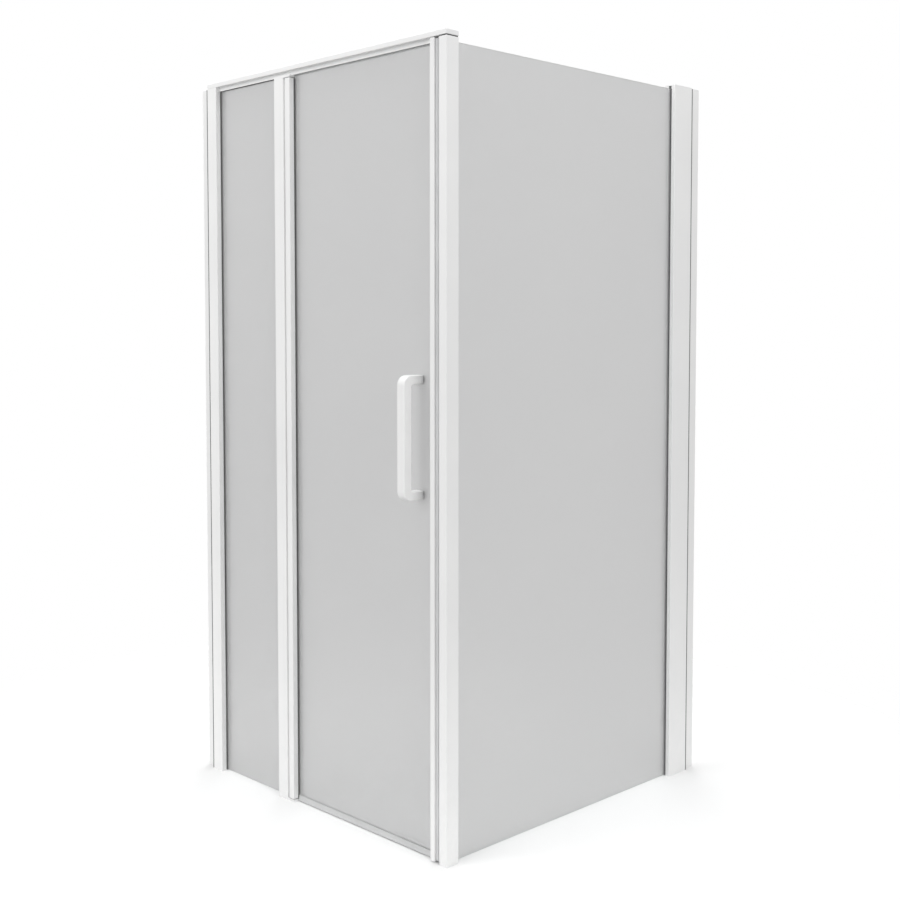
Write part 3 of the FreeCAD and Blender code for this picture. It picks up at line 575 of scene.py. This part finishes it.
@dataclass(frozen=True)
class SplashedFinish(Finish):
    """A finish with a trace of dried splashes near the tray."""

    haze_tone: Colour
    haze_amount: float

    def colour(self, sheet: NodeSheet, effects: Effects) -> Socket:
        """Output with the two tones under the dried splashes."""
        haze = effects.haze.put(sheet, Amount=self.haze_amount)
        return sheet.blend_colours(haze, super().colour(sheet, effects), self.haze_tone)


@dataclass(frozen=True)
class PowderCoat(SplashedFinish):
    """Satin white powder coat over drawn aluminium, with die lines along its run."""

    haze_tone: Colour = (0.70, 0.71, 0.71, 1.0)
    haze_amount: float = 0.25
    die_line_scale: float = 700.0
    die_line_drawing_share: float = 0.004
    die_line_height_share: float = 0.35
    run: Axis = Axis.Z

    def relief(self, sheet: NodeSheet, effects: Effects) -> Socket:
        """Lays faint die lines under the skin of the coating.

        Args:
            sheet: Sheet of the material.
            effects: Shared effects.

        Returns:
            Output with the height.
        """
        drawing = self.run.drawn(self.die_line_drawing_share)
        lines = effects.grain.put(sheet, Scale=self.die_line_scale, Drawing=drawing)
        skin = super().relief(sheet, effects)
        return sheet.maths(Operation.MULTIPLY_ADD, lines, self.die_line_height_share, skin)


@dataclass(frozen=True)
class MouldedPlastic(Finish):
    """Injection-moulded plastic with a spark-eroded skin."""


@dataclass(frozen=True)
class ExtrudedRubber(SplashedFinish):
    """Extruded rubber with drawn lines along its run."""

    haze_tone: Colour = (0.16, 0.16, 0.165, 1.0)
    haze_amount: float = 0.35
    line_drawing_share: float = 0.02
    run: Axis = Axis.Z

    def relief(self, sheet: NodeSheet, effects: Effects) -> Socket:
        """Output with lines drawn along the run of the strip."""
        drawing = self.run.drawn(self.line_drawing_share)
        return effects.grain.put(sheet, Scale=self.grain.scale, Drawing=drawing)


@dataclass(frozen=True)
class SoftSeal(Finish):
    """Translucent soft plastic of the magnet carriers, drip seals and washers."""

    clearness: float = 0.25
    refraction: float = 1.52

    def plain_values(self) -> dict[str, float]:
        """Values that let some light through."""
        return {"Transmission Weight": self.clearness, "IOR": self.refraction}


@dataclass(frozen=True)
class TurnedSteel(Finish):
    """Plain stainless steel of screws, bolts and pins."""

    def plain_values(self) -> dict[str, float]:
        """Value that makes the shader a metal."""
        return {"Metallic": 1.0}


@dataclass(frozen=True)
class SatinGlass(Finish):
    """Light grey toughened glass, etched satin, with darker ground edges."""

    clearness: float = 0.72
    refraction: float = 1.5
    polish: float = 0.5
    polish_roughness: float = 0.06
    edge_tone: Colour = (0.20, 0.24, 0.23, 1.0)
    edge_band: Pair = (0.2, 0.95)
    shadow_tone: Colour = (0.86, 0.87, 0.87, 1.0)
    face_axis: Axis = Axis.Y

    def plain_values(self) -> dict[str, float]:
        """Values that make the shader an etched glass with a polished outer skin."""
        return {
            "Transmission Weight": self.clearness,
            "IOR": self.refraction,
            "Coat Weight": self.polish,
            "Coat Roughness": self.polish_roughness,
        }

    def colour(self, sheet: NodeSheet, effects: Effects) -> Socket:
        """Puts a darker tone on the ground edges, which face away from the pane's axis.

        Args:
            sheet: Sheet of the material.
            effects: Shared effects.

        Returns:
            Output with the colour.
        """
        normal = sheet.add("ShaderNodeTexCoord").outputs["Normal"]
        facing = sheet.maths(Operation.ABSOLUTE, sheet.component(normal, self.face_axis))
        edge = sheet.fit(facing, source=self.edge_band, target=(1.0, 0.0))
        return sheet.blend_colours(edge, super().colour(sheet, effects), self.edge_tone)

    def surface(self, sheet: NodeSheet, shader: Node) -> Socket:
        """Lets lamp light through the pane, so that its shadow stays pale.

        Args:
            sheet: Sheet of the material.
            shader: Shader of the glass.

        Returns:
            Output that the material ends in.
        """
        clear = sheet.add("ShaderNodeBsdfTransparent", {"Color": self.shadow_tone})
        shadow = sheet.add("ShaderNodeLightPath").outputs["Is Shadow Ray"]
        return sheet.blend_shaders(shadow, shader.outputs["BSDF"], clear.outputs["BSDF"])


FRONT_GLASS = SatinGlass(
    name="grey_satin_glass_front",
    tones=Tones(light=(0.634, 0.634, 0.634, 1.0), deep=(0.620, 0.620, 0.621, 1.0), scale=1.3),
    gloss=Gloss(low=0.30, high=0.35, scale=2.5),
    grain=Grain(scale=6.0, strength=0.05, height=0.0004),
)
# Copy of the front glass with its tones painted lighter, to make up for the lesser light that falls
# on the side pane, so that both panes show one grey.
SIDE_GLASS_PAINTED_LIGHTER = replace(
    FRONT_GLASS,
    name="grey_satin_glass_side_painted_lighter",
    tones=Tones(light=(0.655, 0.655, 0.655, 1.0), deep=(0.642, 0.642, 0.643, 1.0), scale=1.3),
    face_axis=Axis.X,
)
WHITE_COAT = PowderCoat(
    name="satin_white_coat",
    tones=Tones(light=(0.86, 0.86, 0.855, 1.0), deep=(0.82, 0.82, 0.818, 1.0), scale=3.0),
    gloss=Gloss(low=0.30, high=0.42, scale=16.0),
    grain=Grain(scale=850.0, strength=0.10, height=0.0003),
)
GLAZING_RUBBER = ExtrudedRubber(
    name="dark_glazing_rubber",
    tones=Tones(light=(0.105, 0.105, 0.108, 1.0), deep=(0.078, 0.078, 0.080, 1.0), scale=20.0),
    gloss=Gloss(low=0.55, high=0.75, scale=40.0),
    grain=Grain(scale=1600.0, strength=0.2, height=0.0003),
)
WHITE_PLASTIC = MouldedPlastic(
    name="white_moulded_plastic",
    tones=Tones(light=(0.84, 0.845, 0.85, 1.0), deep=(0.80, 0.80, 0.80, 1.0), scale=12.0),
    gloss=Gloss(low=0.36, high=0.48, scale=60.0),
    grain=Grain(scale=2400.0, strength=0.15, height=0.0002),
)
MILKY_SEAL = SoftSeal(
    name="milky_soft_seal",
    tones=Tones(light=(0.86, 0.865, 0.87, 1.0), deep=(0.80, 0.805, 0.81, 1.0), scale=9.0),
    gloss=Gloss(low=0.30, high=0.42, scale=25.0),
    grain=Grain(scale=1200.0, strength=0.12, height=0.0003),
)
SMOKY_SEAL = replace(
    MILKY_SEAL,
    name="smoky_soft_seal",
    tones=Tones(light=(0.74, 0.745, 0.745, 1.0), deep=(0.68, 0.685, 0.685, 1.0), scale=9.0),
)
FLEXIBLE_MAGNET = ExtrudedRubber(
    name="flexible_magnet",
    tones=Tones(light=(0.035, 0.032, 0.030, 1.0), deep=(0.020, 0.019, 0.018, 1.0), scale=30.0),
    gloss=Gloss(low=0.6, high=0.8, scale=50.0),
    grain=Grain(scale=1500.0, strength=0.2, height=0.0003),
)
STAINLESS = TurnedSteel(
    name="turned_stainless",
    tones=Tones(light=(0.66, 0.655, 0.645, 1.0), deep=(0.55, 0.545, 0.54, 1.0), scale=60.0),
    gloss=Gloss(low=0.20, high=0.34, scale=150.0),
    grain=Grain(scale=3000.0, strength=0.12, height=0.0002),
)
GREY_NYLON = MouldedPlastic(
    name="grey_nylon",
    tones=Tones(light=(0.40, 0.41, 0.42, 1.0), deep=(0.34, 0.345, 0.35, 1.0), scale=40.0),
    gloss=Gloss(low=0.45, high=0.6, scale=80.0),
    grain=Grain(scale=2600.0, strength=0.2, height=0.0002),
)
DARK_PLASTIC = MouldedPlastic(
    name="dark_moulded_plastic",
    tones=Tones(light=(0.040, 0.040, 0.042, 1.0), deep=(0.026, 0.026, 0.028, 1.0), scale=40.0),
    gloss=Gloss(low=0.4, high=0.55, scale=80.0),
    grain=Grain(scale=2400.0, strength=0.2, height=0.0002),
)
SLOT_FINISHES: dict[Slot, Finish] = {
    Slot.WHITE_COAT: WHITE_COAT,
    Slot.SATIN_GLASS: FRONT_GLASS,
    Slot.DARK_GASKET: GLAZING_RUBBER,
    Slot.WHITE_PLASTIC: WHITE_PLASTIC,
    Slot.CLEAR_SEAL: MILKY_SEAL,
    Slot.MAGNET_STRIP: FLEXIBLE_MAGNET,
    Slot.STAINLESS: STAINLESS,
    Slot.GREY_NYLON: GREY_NYLON,
    Slot.DARK_PLASTIC: DARK_PLASTIC,
}
NODE_FINISHES: dict[str, Finish] = {
    "side_glass": SIDE_GLASS_PAINTED_LIGHTER,
    "header_rail": replace(WHITE_COAT, name="satin_white_coat_rail", run=Axis.X),
    "header_glass_gaskets": replace(GLAZING_RUBBER, name="dark_rail_rubber", run=Axis.X),
    "door_bottom_seal": SMOKY_SEAL,
    "header_door_seal": SMOKY_SEAL,
}


@dataclass(frozen=True)
class Palette:
    """Materials of the enclosure by slot, and those of nodes that differ from their slot."""

    by_slot: dict[Slot, bpy.types.Material]
    by_node: dict[str, bpy.types.Material]

    @classmethod
    def mixed(cls) -> "Palette":
        """Makes the material of every finish once.

        Returns:
            The palette.
        """
        effects = Effects()
        finishes = dict.fromkeys([*NODE_FINISHES.values(), *SLOT_FINISHES.values()])
        made = {finish: finish.material(effects) for finish in finishes}
        return cls(
            by_slot={slot: made[finish] for slot, finish in SLOT_FINISHES.items()},
            by_node={node: made[finish] for node, finish in NODE_FINISHES.items()},
        )

    def material_of(self, node: str) -> bpy.types.Material:
        """Material of a node: its own, or that of the slot that the record gives it."""
        return self.by_node.get(node, self.by_slot[NODE_SLOTS[node]])


# Shaping of new pieces


@dataclass(frozen=True)
class Corner:
    """Corner of an outline, with the radius of its rounding."""

    across: float
    up: float
    radius: float = 0.0

    def mirrored(self) -> "Corner":
        """The same corner on the other side of the outline's middle."""
        return replace(self, across=-self.across)


@dataclass(frozen=True)
class DrawingPlane:
    """Plane that an outline is drawn in."""

    origin: Vector
    across: Vector
    up: Vector

    @classmethod
    def facing_side(cls, origin: Vector) -> "DrawingPlane":
        """Upright plane for a section that runs on along the front."""
        return cls(origin, Axis.Y.direction(), Axis.Z.direction())

    def point(self, corner: Corner) -> Vector:
        """Place of a corner in the shared frame."""
        return self.origin + self.across * corner.across + self.up * corner.up


class Shaper:
    """Mesh of one piece, shaped by operators and given out as an object."""

    tolerance: float = 1e-6
    sharp_angle: float = math.radians(40.0)
    # The largest weight, so that wide faces keep their own normals up to the roundings.
    flat_weight: int = 100

    def __init__(self) -> None:
        """Starts an empty mesh."""
        self.mesh = bmesh.new()

    def outline(self, plane: DrawingPlane, corners: list[Corner], segments: int) -> None:
        """Adds a flat face with some of its corners rounded.

        Args:
            plane: Plane that the outline is drawn in.
            corners: Corners in order.
            segments: Steps of each rounding.
        """
        verts = [self.mesh.verts.new(plane.point(corner)) for corner in corners]
        self.mesh.faces.new(verts)
        for vert, corner in zip(verts, corners):
            if corner.radius:
                self.bevel([vert], corner.radius, segments, Rounding.CORNERS)

    def bevel(
        self, parts: list[MeshPart], radius: float, segments: int, kind: Rounding
    ) -> None:
        """Rounds some corners or edges.

        Args:
            parts: Vertices or edges to round.
            radius: Radius of the rounding.
            segments: Steps of the rounding.
            kind: Whether corners or edges are rounded.
        """
        bmesh.ops.bevel(
            self.mesh,
            geom=parts,
            offset=radius,
            offset_type="OFFSET",
            segments=segments,
            profile=0.5,
            affect=kind.value,
            material=-1,
        )

    def move(self, parts: list[MeshPart], travel: Vector) -> None:
        """Moves those of some parts of the mesh that are vertices."""
        verts = [part for part in parts if isinstance(part, bmesh.types.BMVert)]
        bmesh.ops.translate(self.mesh, verts=verts, vec=travel)

    def pull(self, travel: Vector) -> None:
        """Extrudes every face into a closed solid.

        Args:
            travel: Way and length of the extrusion.
        """
        grown = bmesh.ops.extrude_face_region(self.mesh, geom=self.mesh.faces[:])["geom"]
        self.move(grown, travel)
        bmesh.ops.recalc_face_normals(self.mesh, faces=self.mesh.faces[:])

    def turn(self, middle: Vector, axis: Vector, steps: int) -> None:
        """Spins the outline of the flat faces once round an axis.

        Args:
            middle: Point on the axis.
            axis: Direction of the axis.
            steps: Steps of the turn.
        """
        bmesh.ops.delete(self.mesh, geom=self.mesh.faces[:], context="FACES_ONLY")
        bmesh.ops.spin(
            self.mesh,
            geom=self.mesh.verts[:] + self.mesh.edges[:],
            cent=middle,
            axis=axis,
            angle=math.tau,
            steps=steps,
            use_merge=True,
        )
        bmesh.ops.remove_doubles(self.mesh, verts=self.mesh.verts[:], dist=self.tolerance)
        loose = [edge for edge in self.mesh.edges if not edge.link_faces]
        bmesh.ops.delete(self.mesh, geom=loose, context="EDGES")
        bmesh.ops.recalc_face_normals(self.mesh, faces=self.mesh.faces[:])

    def repeat(self, rises: list[float]) -> None:
        """Repeats the mesh as it stands.

        Args:
            rises: Height of each copy above the mesh.
        """
        single = self.mesh.faces[:]
        for rise in rises:
            grown = bmesh.ops.duplicate(self.mesh, geom=single)["geom"]
            self.move(grown, Axis.Z.direction() * rise)

    def place(self, name: str) -> bpy.types.Object:
        """Gives the mesh out as a smooth object at the origin.

        Args:
            name: Name of the piece.

        Returns:
            The new object.
        """
        data = bpy.data.meshes.new(name)
        self.mesh.to_mesh(data)
        self.mesh.free()
        data.shade_smooth()
        data.set_sharp_from_angle(angle=self.sharp_angle)
        piece = show(name, data)
        weighted = piece.modifiers.new("flat_faces_stay_flat", "WEIGHTED_NORMAL")
        weighted.keep_sharp = True
        weighted.weight = self.flat_weight
        return piece


# Sub-assemblies


@dataclass
class SubAssembly(ABC):
    """A group of pieces that belong together on one body."""

    palette: Palette

    @property
    @abstractmethod
    def body(self) -> Body:
        """Body that the pieces ride on."""

    @property
    @abstractmethod
    def nodes(self) -> tuple[str, ...]:
        """Solid-model nodes of the group that stay as they are."""

    def build(self) -> list[bpy.types.Object]:
        """Builds the pieces that stand in for other nodes; none by default."""
        return []

    def coat(self, piece: bpy.types.Object, node: str) -> None:
        """Gives a piece the material of a node in every slot.

        Args:
            piece: Piece to coat.
            node: Node whose material it takes.
        """
        material = self.palette.material_of(node)
        if not piece.material_slots:
            piece.data.materials.append(material)
        for slot in piece.material_slots:
            slot.material = material

    def dress(self) -> None:
        """Dresses the nodes of the group."""
        for node in self.nodes:
            self.coat(frame["nodes"][node], node)
            LOG.info("dressed %s", node)

    def stand_in(self, piece: bpy.types.Object, node: str) -> bpy.types.Object:
        """Puts a new piece in the place of a node.

        Args:
            piece: Finished piece.
            node: Node that the piece stands for.

        Returns:
            The piece.
        """
        self.coat(piece, node)
        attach(piece, self.body.value)
        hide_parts(node)
        LOG.info("built %s for %s", piece.name, node)
        return piece


@dataclass
class ScrewCovers:
    """Three domed push-on covers over the screws of an adjusting profile."""

    radius: float = 0.006
    height: float = 0.0042
    wall: float = 0.0012
    crown: float = 0.0026
    round_steps: int = 8
    turn_steps: int = 48

    def shape(self, node: str, inward: Axis, way: Way, name: str) -> bpy.types.Object:
        """Turns one dome and repeats it at each cover of the node.

        Args:
            node: Node with the covers, evenly spread up its height.
            inward: Axis along which the domes stand.
            way: Way that they stand along the axis.
            name: Name of the piece.

        Returns:
            The piece.
        """
        low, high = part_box(node)
        middle = low.lerp(high, 0.5)
        seat = low if way is Way.ALONG else high
        base = middle + inward.direction() * (seat - middle).dot(inward.direction())
        axis = inward.direction() * way.value
        bore = self.radius - self.wall
        roof = self.height - self.wall
        dome = [
            Corner(0.0, self.height),
            Corner(self.radius, self.height, self.crown),
            Corner(self.radius, 0.0),
            Corner(bore, 0.0),
            Corner(bore, roof, self.wall / 2),
            Corner(0.0, roof),
        ]
        shaper = Shaper()
        plane = DrawingPlane(base, axis.cross(Axis.Z.direction()), axis)
        shaper.outline(plane, dome, self.round_steps)
        shaper.turn(base, axis, self.turn_steps)
        gap = (high.z - low.z) / 2 - self.radius
        shaper.move(shaper.mesh.verts[:], Axis.Z.direction() * -gap)
        shaper.repeat([gap, 2 * gap])
        return shaper.place(name)


@dataclass
class FrontWallEnd(SubAssembly):
    """Wall channel and adjusting profile at the wall end of the front."""

    body = Body.FRAME
    nodes = (
        "front_wall_channel",
        "front_channel_cap",
        "front_channel_wipers",
        "front_adjust_profile",
        "front_adjust_screws",
    )

    def build(self) -> list[bpy.types.Object]:
        """Builds the screw covers.

        Returns:
            The covers, as one piece.
        """
        node = "front_adjust_screw_caps"
        covers = ScrewCovers().shape(node, Axis.Y, Way.ALONG, "front_screw_covers")
        return [self.stand_in(covers, node)]


@dataclass
class FixedPane(SubAssembly):
    """Fixed pane in line with the door, with its gaskets and setting blocks."""

    body = Body.FRAME
    nodes = (
        "fixed_glass",
        "fixed_glass_wall_gaskets",
        "fixed_glass_post_gaskets",
        "fixed_glass_setting_blocks",
    )


@dataclass
class HingePost(SubAssembly):
    """Upright that carries the door, with its pivots."""

    body = Body.FRAME
    nodes = (
        "hinge_post",
        "hinge_gap_seal",
        "lower_pivot_bracket",
        "lower_pivot_pin",
        "upper_pivot_bracket",
        "upper_pivot_pin",
        "pivot_bracket_screws",
    )


@dataclass
class CornerPost(SubAssembly):
    """Upright at the corner, with the fixed half of the magnetic strip."""

    body = Body.FRAME
    nodes = ("corner_post", "corner_post_foot", "post_magnet_carrier", "post_magnet_core")


@dataclass
class HeaderRail(SubAssembly):
    """Rail over the front with its caps, plugs and seals."""

    body = Body.FRAME
    nodes = (
        "header_rail",
        "header_wall_end_cap",
        "header_corner_cap",
        "header_corner_connector",
        "header_screws",
        "header_screw_plugs",
        "header_glass_gaskets",
        "header_door_seal",
    )


@dataclass
class SidePane(SubAssembly):
    """Side pane with its adjusting profile and wall channel."""

    body = Body.FRAME
    nodes = (
        "side_glass",
        "side_glass_post_gaskets",
        "side_glass_wall_gaskets",
        "side_glass_setting_blocks",
        "side_adjust_profile",
        "side_profile_cap",
        "side_adjust_screws",
        "side_wall_channel",
        "side_channel_cap",
        "side_channel_wipers",
    )

    def build(self) -> list[bpy.types.Object]:
        """Builds the screw covers.

        Returns:
            The covers, as one piece.
        """
        node = "side_adjust_screw_caps"
        covers = ScrewCovers().shape(node, Axis.X, Way.AGAINST, "side_screw_covers")
        return [self.stand_in(covers, node)]


@dataclass
class Door(SubAssembly):
    """Swinging door: pane, two uprights, bearings, seals and the moving magnetic strip."""

    clip_wall: float = 0.0014
    clip_leg: float = 0.0080
    lip_tip: float = 0.0010
    lip_flare: float = 0.0012
    web: float = 0.0022
    soft_round: float = 0.0004
    round_steps: int = 4

    body = Body.DOOR
    nodes = (
        "door_hinge_profile",
        "lower_pivot_bush",
        "upper_pivot_bush",
        "door_glass",
        "door_hinge_gaskets",
        "door_close_gaskets",
        "door_close_profile",
        "door_close_caps",
        "door_magnet_carrier",
        "door_magnet_core",
    )

    def build(self) -> list[bpy.types.Object]:
        """Builds the bottom seal."""
        return [self.stand_in(self.bottom_seal(), "door_bottom_seal")]

    def bottom_seal(self) -> bpy.types.Object:
        """Extrudes a clip with two flared lips along the lower edge of the pane.

        Returns:
            The piece.
        """
        low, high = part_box("door_bottom_seal")
        half = (high.y - low.y) / 2
        pane = half - self.clip_wall
        floor = high.z - self.clip_leg
        lip = half + self.lip_flare
        right = [
            Corner(pane, floor),
            Corner(pane, high.z, self.soft_round),
            Corner(half, high.z, self.soft_round),
            Corner(half, floor - self.clip_wall, self.clip_wall),
            Corner(lip, low.z, self.soft_round),
            Corner(lip - self.lip_tip, low.z, self.soft_round),
            Corner(pane, floor - self.web, self.clip_wall),
        ]
        left = [corner.mirrored() for corner in reversed(right)]
        shaper = Shaper()
        plane = DrawingPlane.facing_side(Vector((low.x, (low.y + high.y) / 2, 0.0)))
        shaper.outline(plane, right + left, self.round_steps)
        shaper.pull(Vector((high.x - low.x, 0.0, 0.0)))
        return shaper.place("door_drip_seal")


@dataclass
class BowHandle(SubAssembly):
    """Bow handle outside the door with round covers over its bolts inside."""

    grip: float = 0.024
    leg: float = 0.022
    bend: float = 0.024
    hollow_bend: float = 0.006
    bend_steps: int = 20
    edge: float = 0.003
    edge_steps: int = 6
    rosette_wall: float = 0.0024
    rosette_round: float = 0.0022
    rosette_lip: float = 0.0008
    rosette_round_steps: int = 8
    rosette_turn_steps: int = 64
    bolt_room: float = 0.0056
    bolt_hole: float = 0.0032

    body = Body.DOOR
    nodes = ("handle_pads", "handle_sleeves", "handle_bolts")

    def build(self) -> list[bpy.types.Object]:
        """Builds the bar and the covers."""
        return [
            self.stand_in(self.bar(), "handle_bar"),
            self.stand_in(self.rosettes(), "handle_rosettes"),
        ]

    def bar(self) -> bpy.types.Object:
        """Rounds a bow outline, pulls it to the width of the bar and rounds its long edges.

        Returns:
            The piece.
        """
        low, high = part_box("handle_bar")
        inner = low.y + self.grip
        lower_leg = low.z + self.leg
        upper_leg = high.z - self.leg
        bow = [
            Corner(high.y, low.z),
            Corner(low.y, low.z, self.bend),
            Corner(low.y, high.z, self.bend),
            Corner(high.y, high.z),
            Corner(high.y, upper_leg),
            Corner(inner, upper_leg, self.hollow_bend),
            Corner(inner, lower_leg, self.hollow_bend),
            Corner(high.y, lower_leg),
        ]
        shaper = Shaper()
        plane = DrawingPlane.facing_side(Vector((low.x, 0.0, 0.0)))
        shaper.outline(plane, bow, self.bend_steps)
        shaper.pull(Vector((high.x - low.x, 0.0, 0.0)))
        rims: list[MeshPart] = []
        for rim in shaper.mesh.edges:
            start, end = (vert.co for vert in rim.verts)
            on_cheek = abs(start.x - end.x) < shaper.tolerance
            if on_cheek and min(start.y, end.y) < high.y - shaper.tolerance:
                rims.append(rim)
        shaper.bevel(rims, self.edge, self.edge_steps, Rounding.EDGES)
        return shaper.place("bow_handle")

    def rosettes(self) -> bpy.types.Object:
        """Turns one round cover with a recess for the bolt head and repeats it at the other bolt.

        Returns:
            The piece.
        """
        low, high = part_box("handle_rosettes")
        radius = (high.x - low.x) / 2
        rise = high.y - low.y
        base = Vector(((low.x + high.x) / 2, low.y, low.z + radius))
        ring = [
            Corner(self.bolt_hole, 0.0),
            Corner(radius, 0.0),
            Corner(radius, rise, self.rosette_round),
            Corner(self.bolt_room, rise, self.rosette_lip),
            Corner(self.bolt_room, self.rosette_wall),
            Corner(self.bolt_hole, self.rosette_wall),
        ]
        shaper = Shaper()
        plane = DrawingPlane(base, Axis.X.direction(), Axis.Y.direction())
        shaper.outline(plane, ring, self.rosette_round_steps)
        shaper.turn(base, Axis.Y.direction(), self.rosette_turn_steps)
        shaper.repeat([high.z - low.z - 2 * radius])
        return shaper.place("bolt_rosettes")


# Stage


@dataclass(frozen=True)
class SoftLamp:
    """A square lamp: its place and side in metres, and its power in watts."""

    name: str
    spot: Place
    side: float
    power: float


@dataclass
class Studio:
    """White studio: floor, lamps, surrounding light and camera.

    Lengths are in metres, apart from the camera's lens and sensor in millimetres.
    """

    eye: Place = (2.6048, -2.5254, 1.2729)
    turn_degrees: float = 45.625
    tilt_degrees: float = 3.113
    lens: float = 51.041
    sensor: float = 36.0
    # Kept small, because views from other sides have the same shift.
    shift_y: float = -0.06
    floor_radius: float = 9.0
    floor_segments: int = 96
    floor_fade: Pair = (0.8, 1.9)
    floor_tone: Colour = (0.88, 0.88, 0.88, 1.0)
    sky_tone: Colour = (1.0, 1.0, 1.0, 1.0)
    sky_strength: float = 1.0
    ambient: float = 0.38
    lamp_aim: Place = (0.0, 0.0, 0.95)
    lamps: tuple[SoftLamp, ...] = (
        SoftLamp(name="key", spot=(-0.9, -4.9, 2.9), side=3.2, power=132.0),
        SoftLamp(name="side", spot=(4.8, -0.9, 2.5), side=3.0, power=96.0),
        SoftLamp(name="top", spot=(0.0, 0.2, 4.6), side=3.4, power=132.0),
        SoftLamp(name="back", spot=(-3.2, 3.6, 2.6), side=3.0, power=70.0),
    )

    def build(self) -> None:
        """Builds the whole stage."""
        self.floor()
        self.surroundings()
        for plan in self.lamps:
            self.hang(plan)
        self.camera()

    def floor(self) -> None:
        """Lays a pale round floor under the enclosure."""
        mesh = bmesh.new()
        bmesh.ops.create_circle(
            mesh, cap_ends=True, segments=self.floor_segments, radius=self.floor_radius
        )
        data = bpy.data.meshes.new("studio_floor")
        mesh.to_mesh(data)
        mesh.free()
        data.materials.append(self.floor_paint())
        floor = show("studio_floor", data)

    def floor_paint(self) -> bpy.types.Material:
        """Makes a pale paint that fades into the white surroundings.

        Returns:
            The material.
        """
        made = bpy.data.materials.new("pale_floor")
        made.use_nodes = True
        sheet = NodeSheet(made.node_tree)
        paint = sheet.add("ShaderNodeBsdfDiffuse", {"Color": self.floor_tone})
        clear = sheet.add("ShaderNodeBsdfTransparent")
        reach = sheet.add("ShaderNodeVectorMath", operation="LENGTH")
        sheet.feed(reach.inputs[0], sheet.add("ShaderNodeTexCoord").outputs["Object"])
        fade = sheet.fit(reach.outputs["Value"], source=self.floor_fade, smooth=True)
        mixed = sheet.blend_shaders(fade, paint.outputs["BSDF"], clear.outputs["BSDF"])
        leave = sheet.add("ShaderNodeOutputMaterial")
        sheet.feed(leave.inputs["Surface"], mixed)
        return made

    def surroundings(self) -> None:
        """Makes the surroundings white to the eye and in glass, and a soft grey light elsewhere."""
        world = bpy.data.worlds.new("white_studio")
        world.use_nodes = True
        sheet = NodeSheet(world.node_tree)
        rays = sheet.add("ShaderNodeLightPath").outputs
        seen = rays["Is Camera Ray"]
        for kind in ("Is Glossy Ray", "Is Transmission Ray"):
            seen = sheet.maths(Operation.MAXIMUM, seen, rays[kind])
        strength = sheet.fit(seen, target=(self.ambient, self.sky_strength))
        glow = sheet.add("ShaderNodeBackground", {"Color": self.sky_tone})
        sheet.feed(glow.inputs["Strength"], strength)
        leave = sheet.add("ShaderNodeOutputWorld")
        sheet.feed(leave.inputs["Surface"], glow.outputs["Background"])
        bpy.context.scene.world = world

    def hang(self, plan: SoftLamp) -> None:
        """Hangs a lamp that faces the middle of the enclosure and isn't seen itself.

        Args:
            plan: Lamp to hang.
        """
        data = bpy.data.lights.new(plan.name, "AREA")
        data.size = plan.side
        data.energy = plan.power
        lamp = show(plan.name, data)
        lamp.location = plan.spot
        aim = Vector(self.lamp_aim) - lamp.location
        lamp.rotation_euler = aim.to_track_quat("-Z", "Y").to_euler()
        lamp.visible_camera = False
        lamp.visible_glossy = False
        lamp.visible_transmission = False

    def camera(self) -> None:
        """Sets the camera at the viewing angle of the picture."""
        data = bpy.data.cameras.new("camera")
        data.sensor_width = self.sensor
        data.lens = self.lens
        data.shift_y = self.shift_y
        camera = show("camera", data)
        turn = Matrix.Rotation(math.radians(self.turn_degrees), 4, "Z")
        tilt = Matrix.Rotation(math.pi / 2 - math.radians(self.tilt_degrees), 4, "X")
        camera.matrix_world = Matrix.Translation(self.eye) @ turn @ tilt
        bpy.context.scene.camera = camera


ASSEMBLIES: tuple[type[SubAssembly], ...] = (
    FrontWallEnd,
    FixedPane,
    HingePost,
    CornerPost,
    HeaderRail,
    SidePane,
    Door,
    BowHandle,
)


def main() -> None:
    """Builds and dresses each sub-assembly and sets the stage."""
    logging.basicConfig(level=logging.INFO, format="%(name)s: %(message)s")
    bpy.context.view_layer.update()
    palette = Palette.mixed()
    for kind in ASSEMBLIES:
        group = kind(palette)
        group.dress()
        pieces = group.build()
        LOG.info("%s: %d nodes, %d new pieces", kind.__name__, len(group.nodes), len(pieces))
    Studio().build()
    bpy.context.scene.view_settings.view_transform = "Standard"


if __name__ == "__main__":
    main()
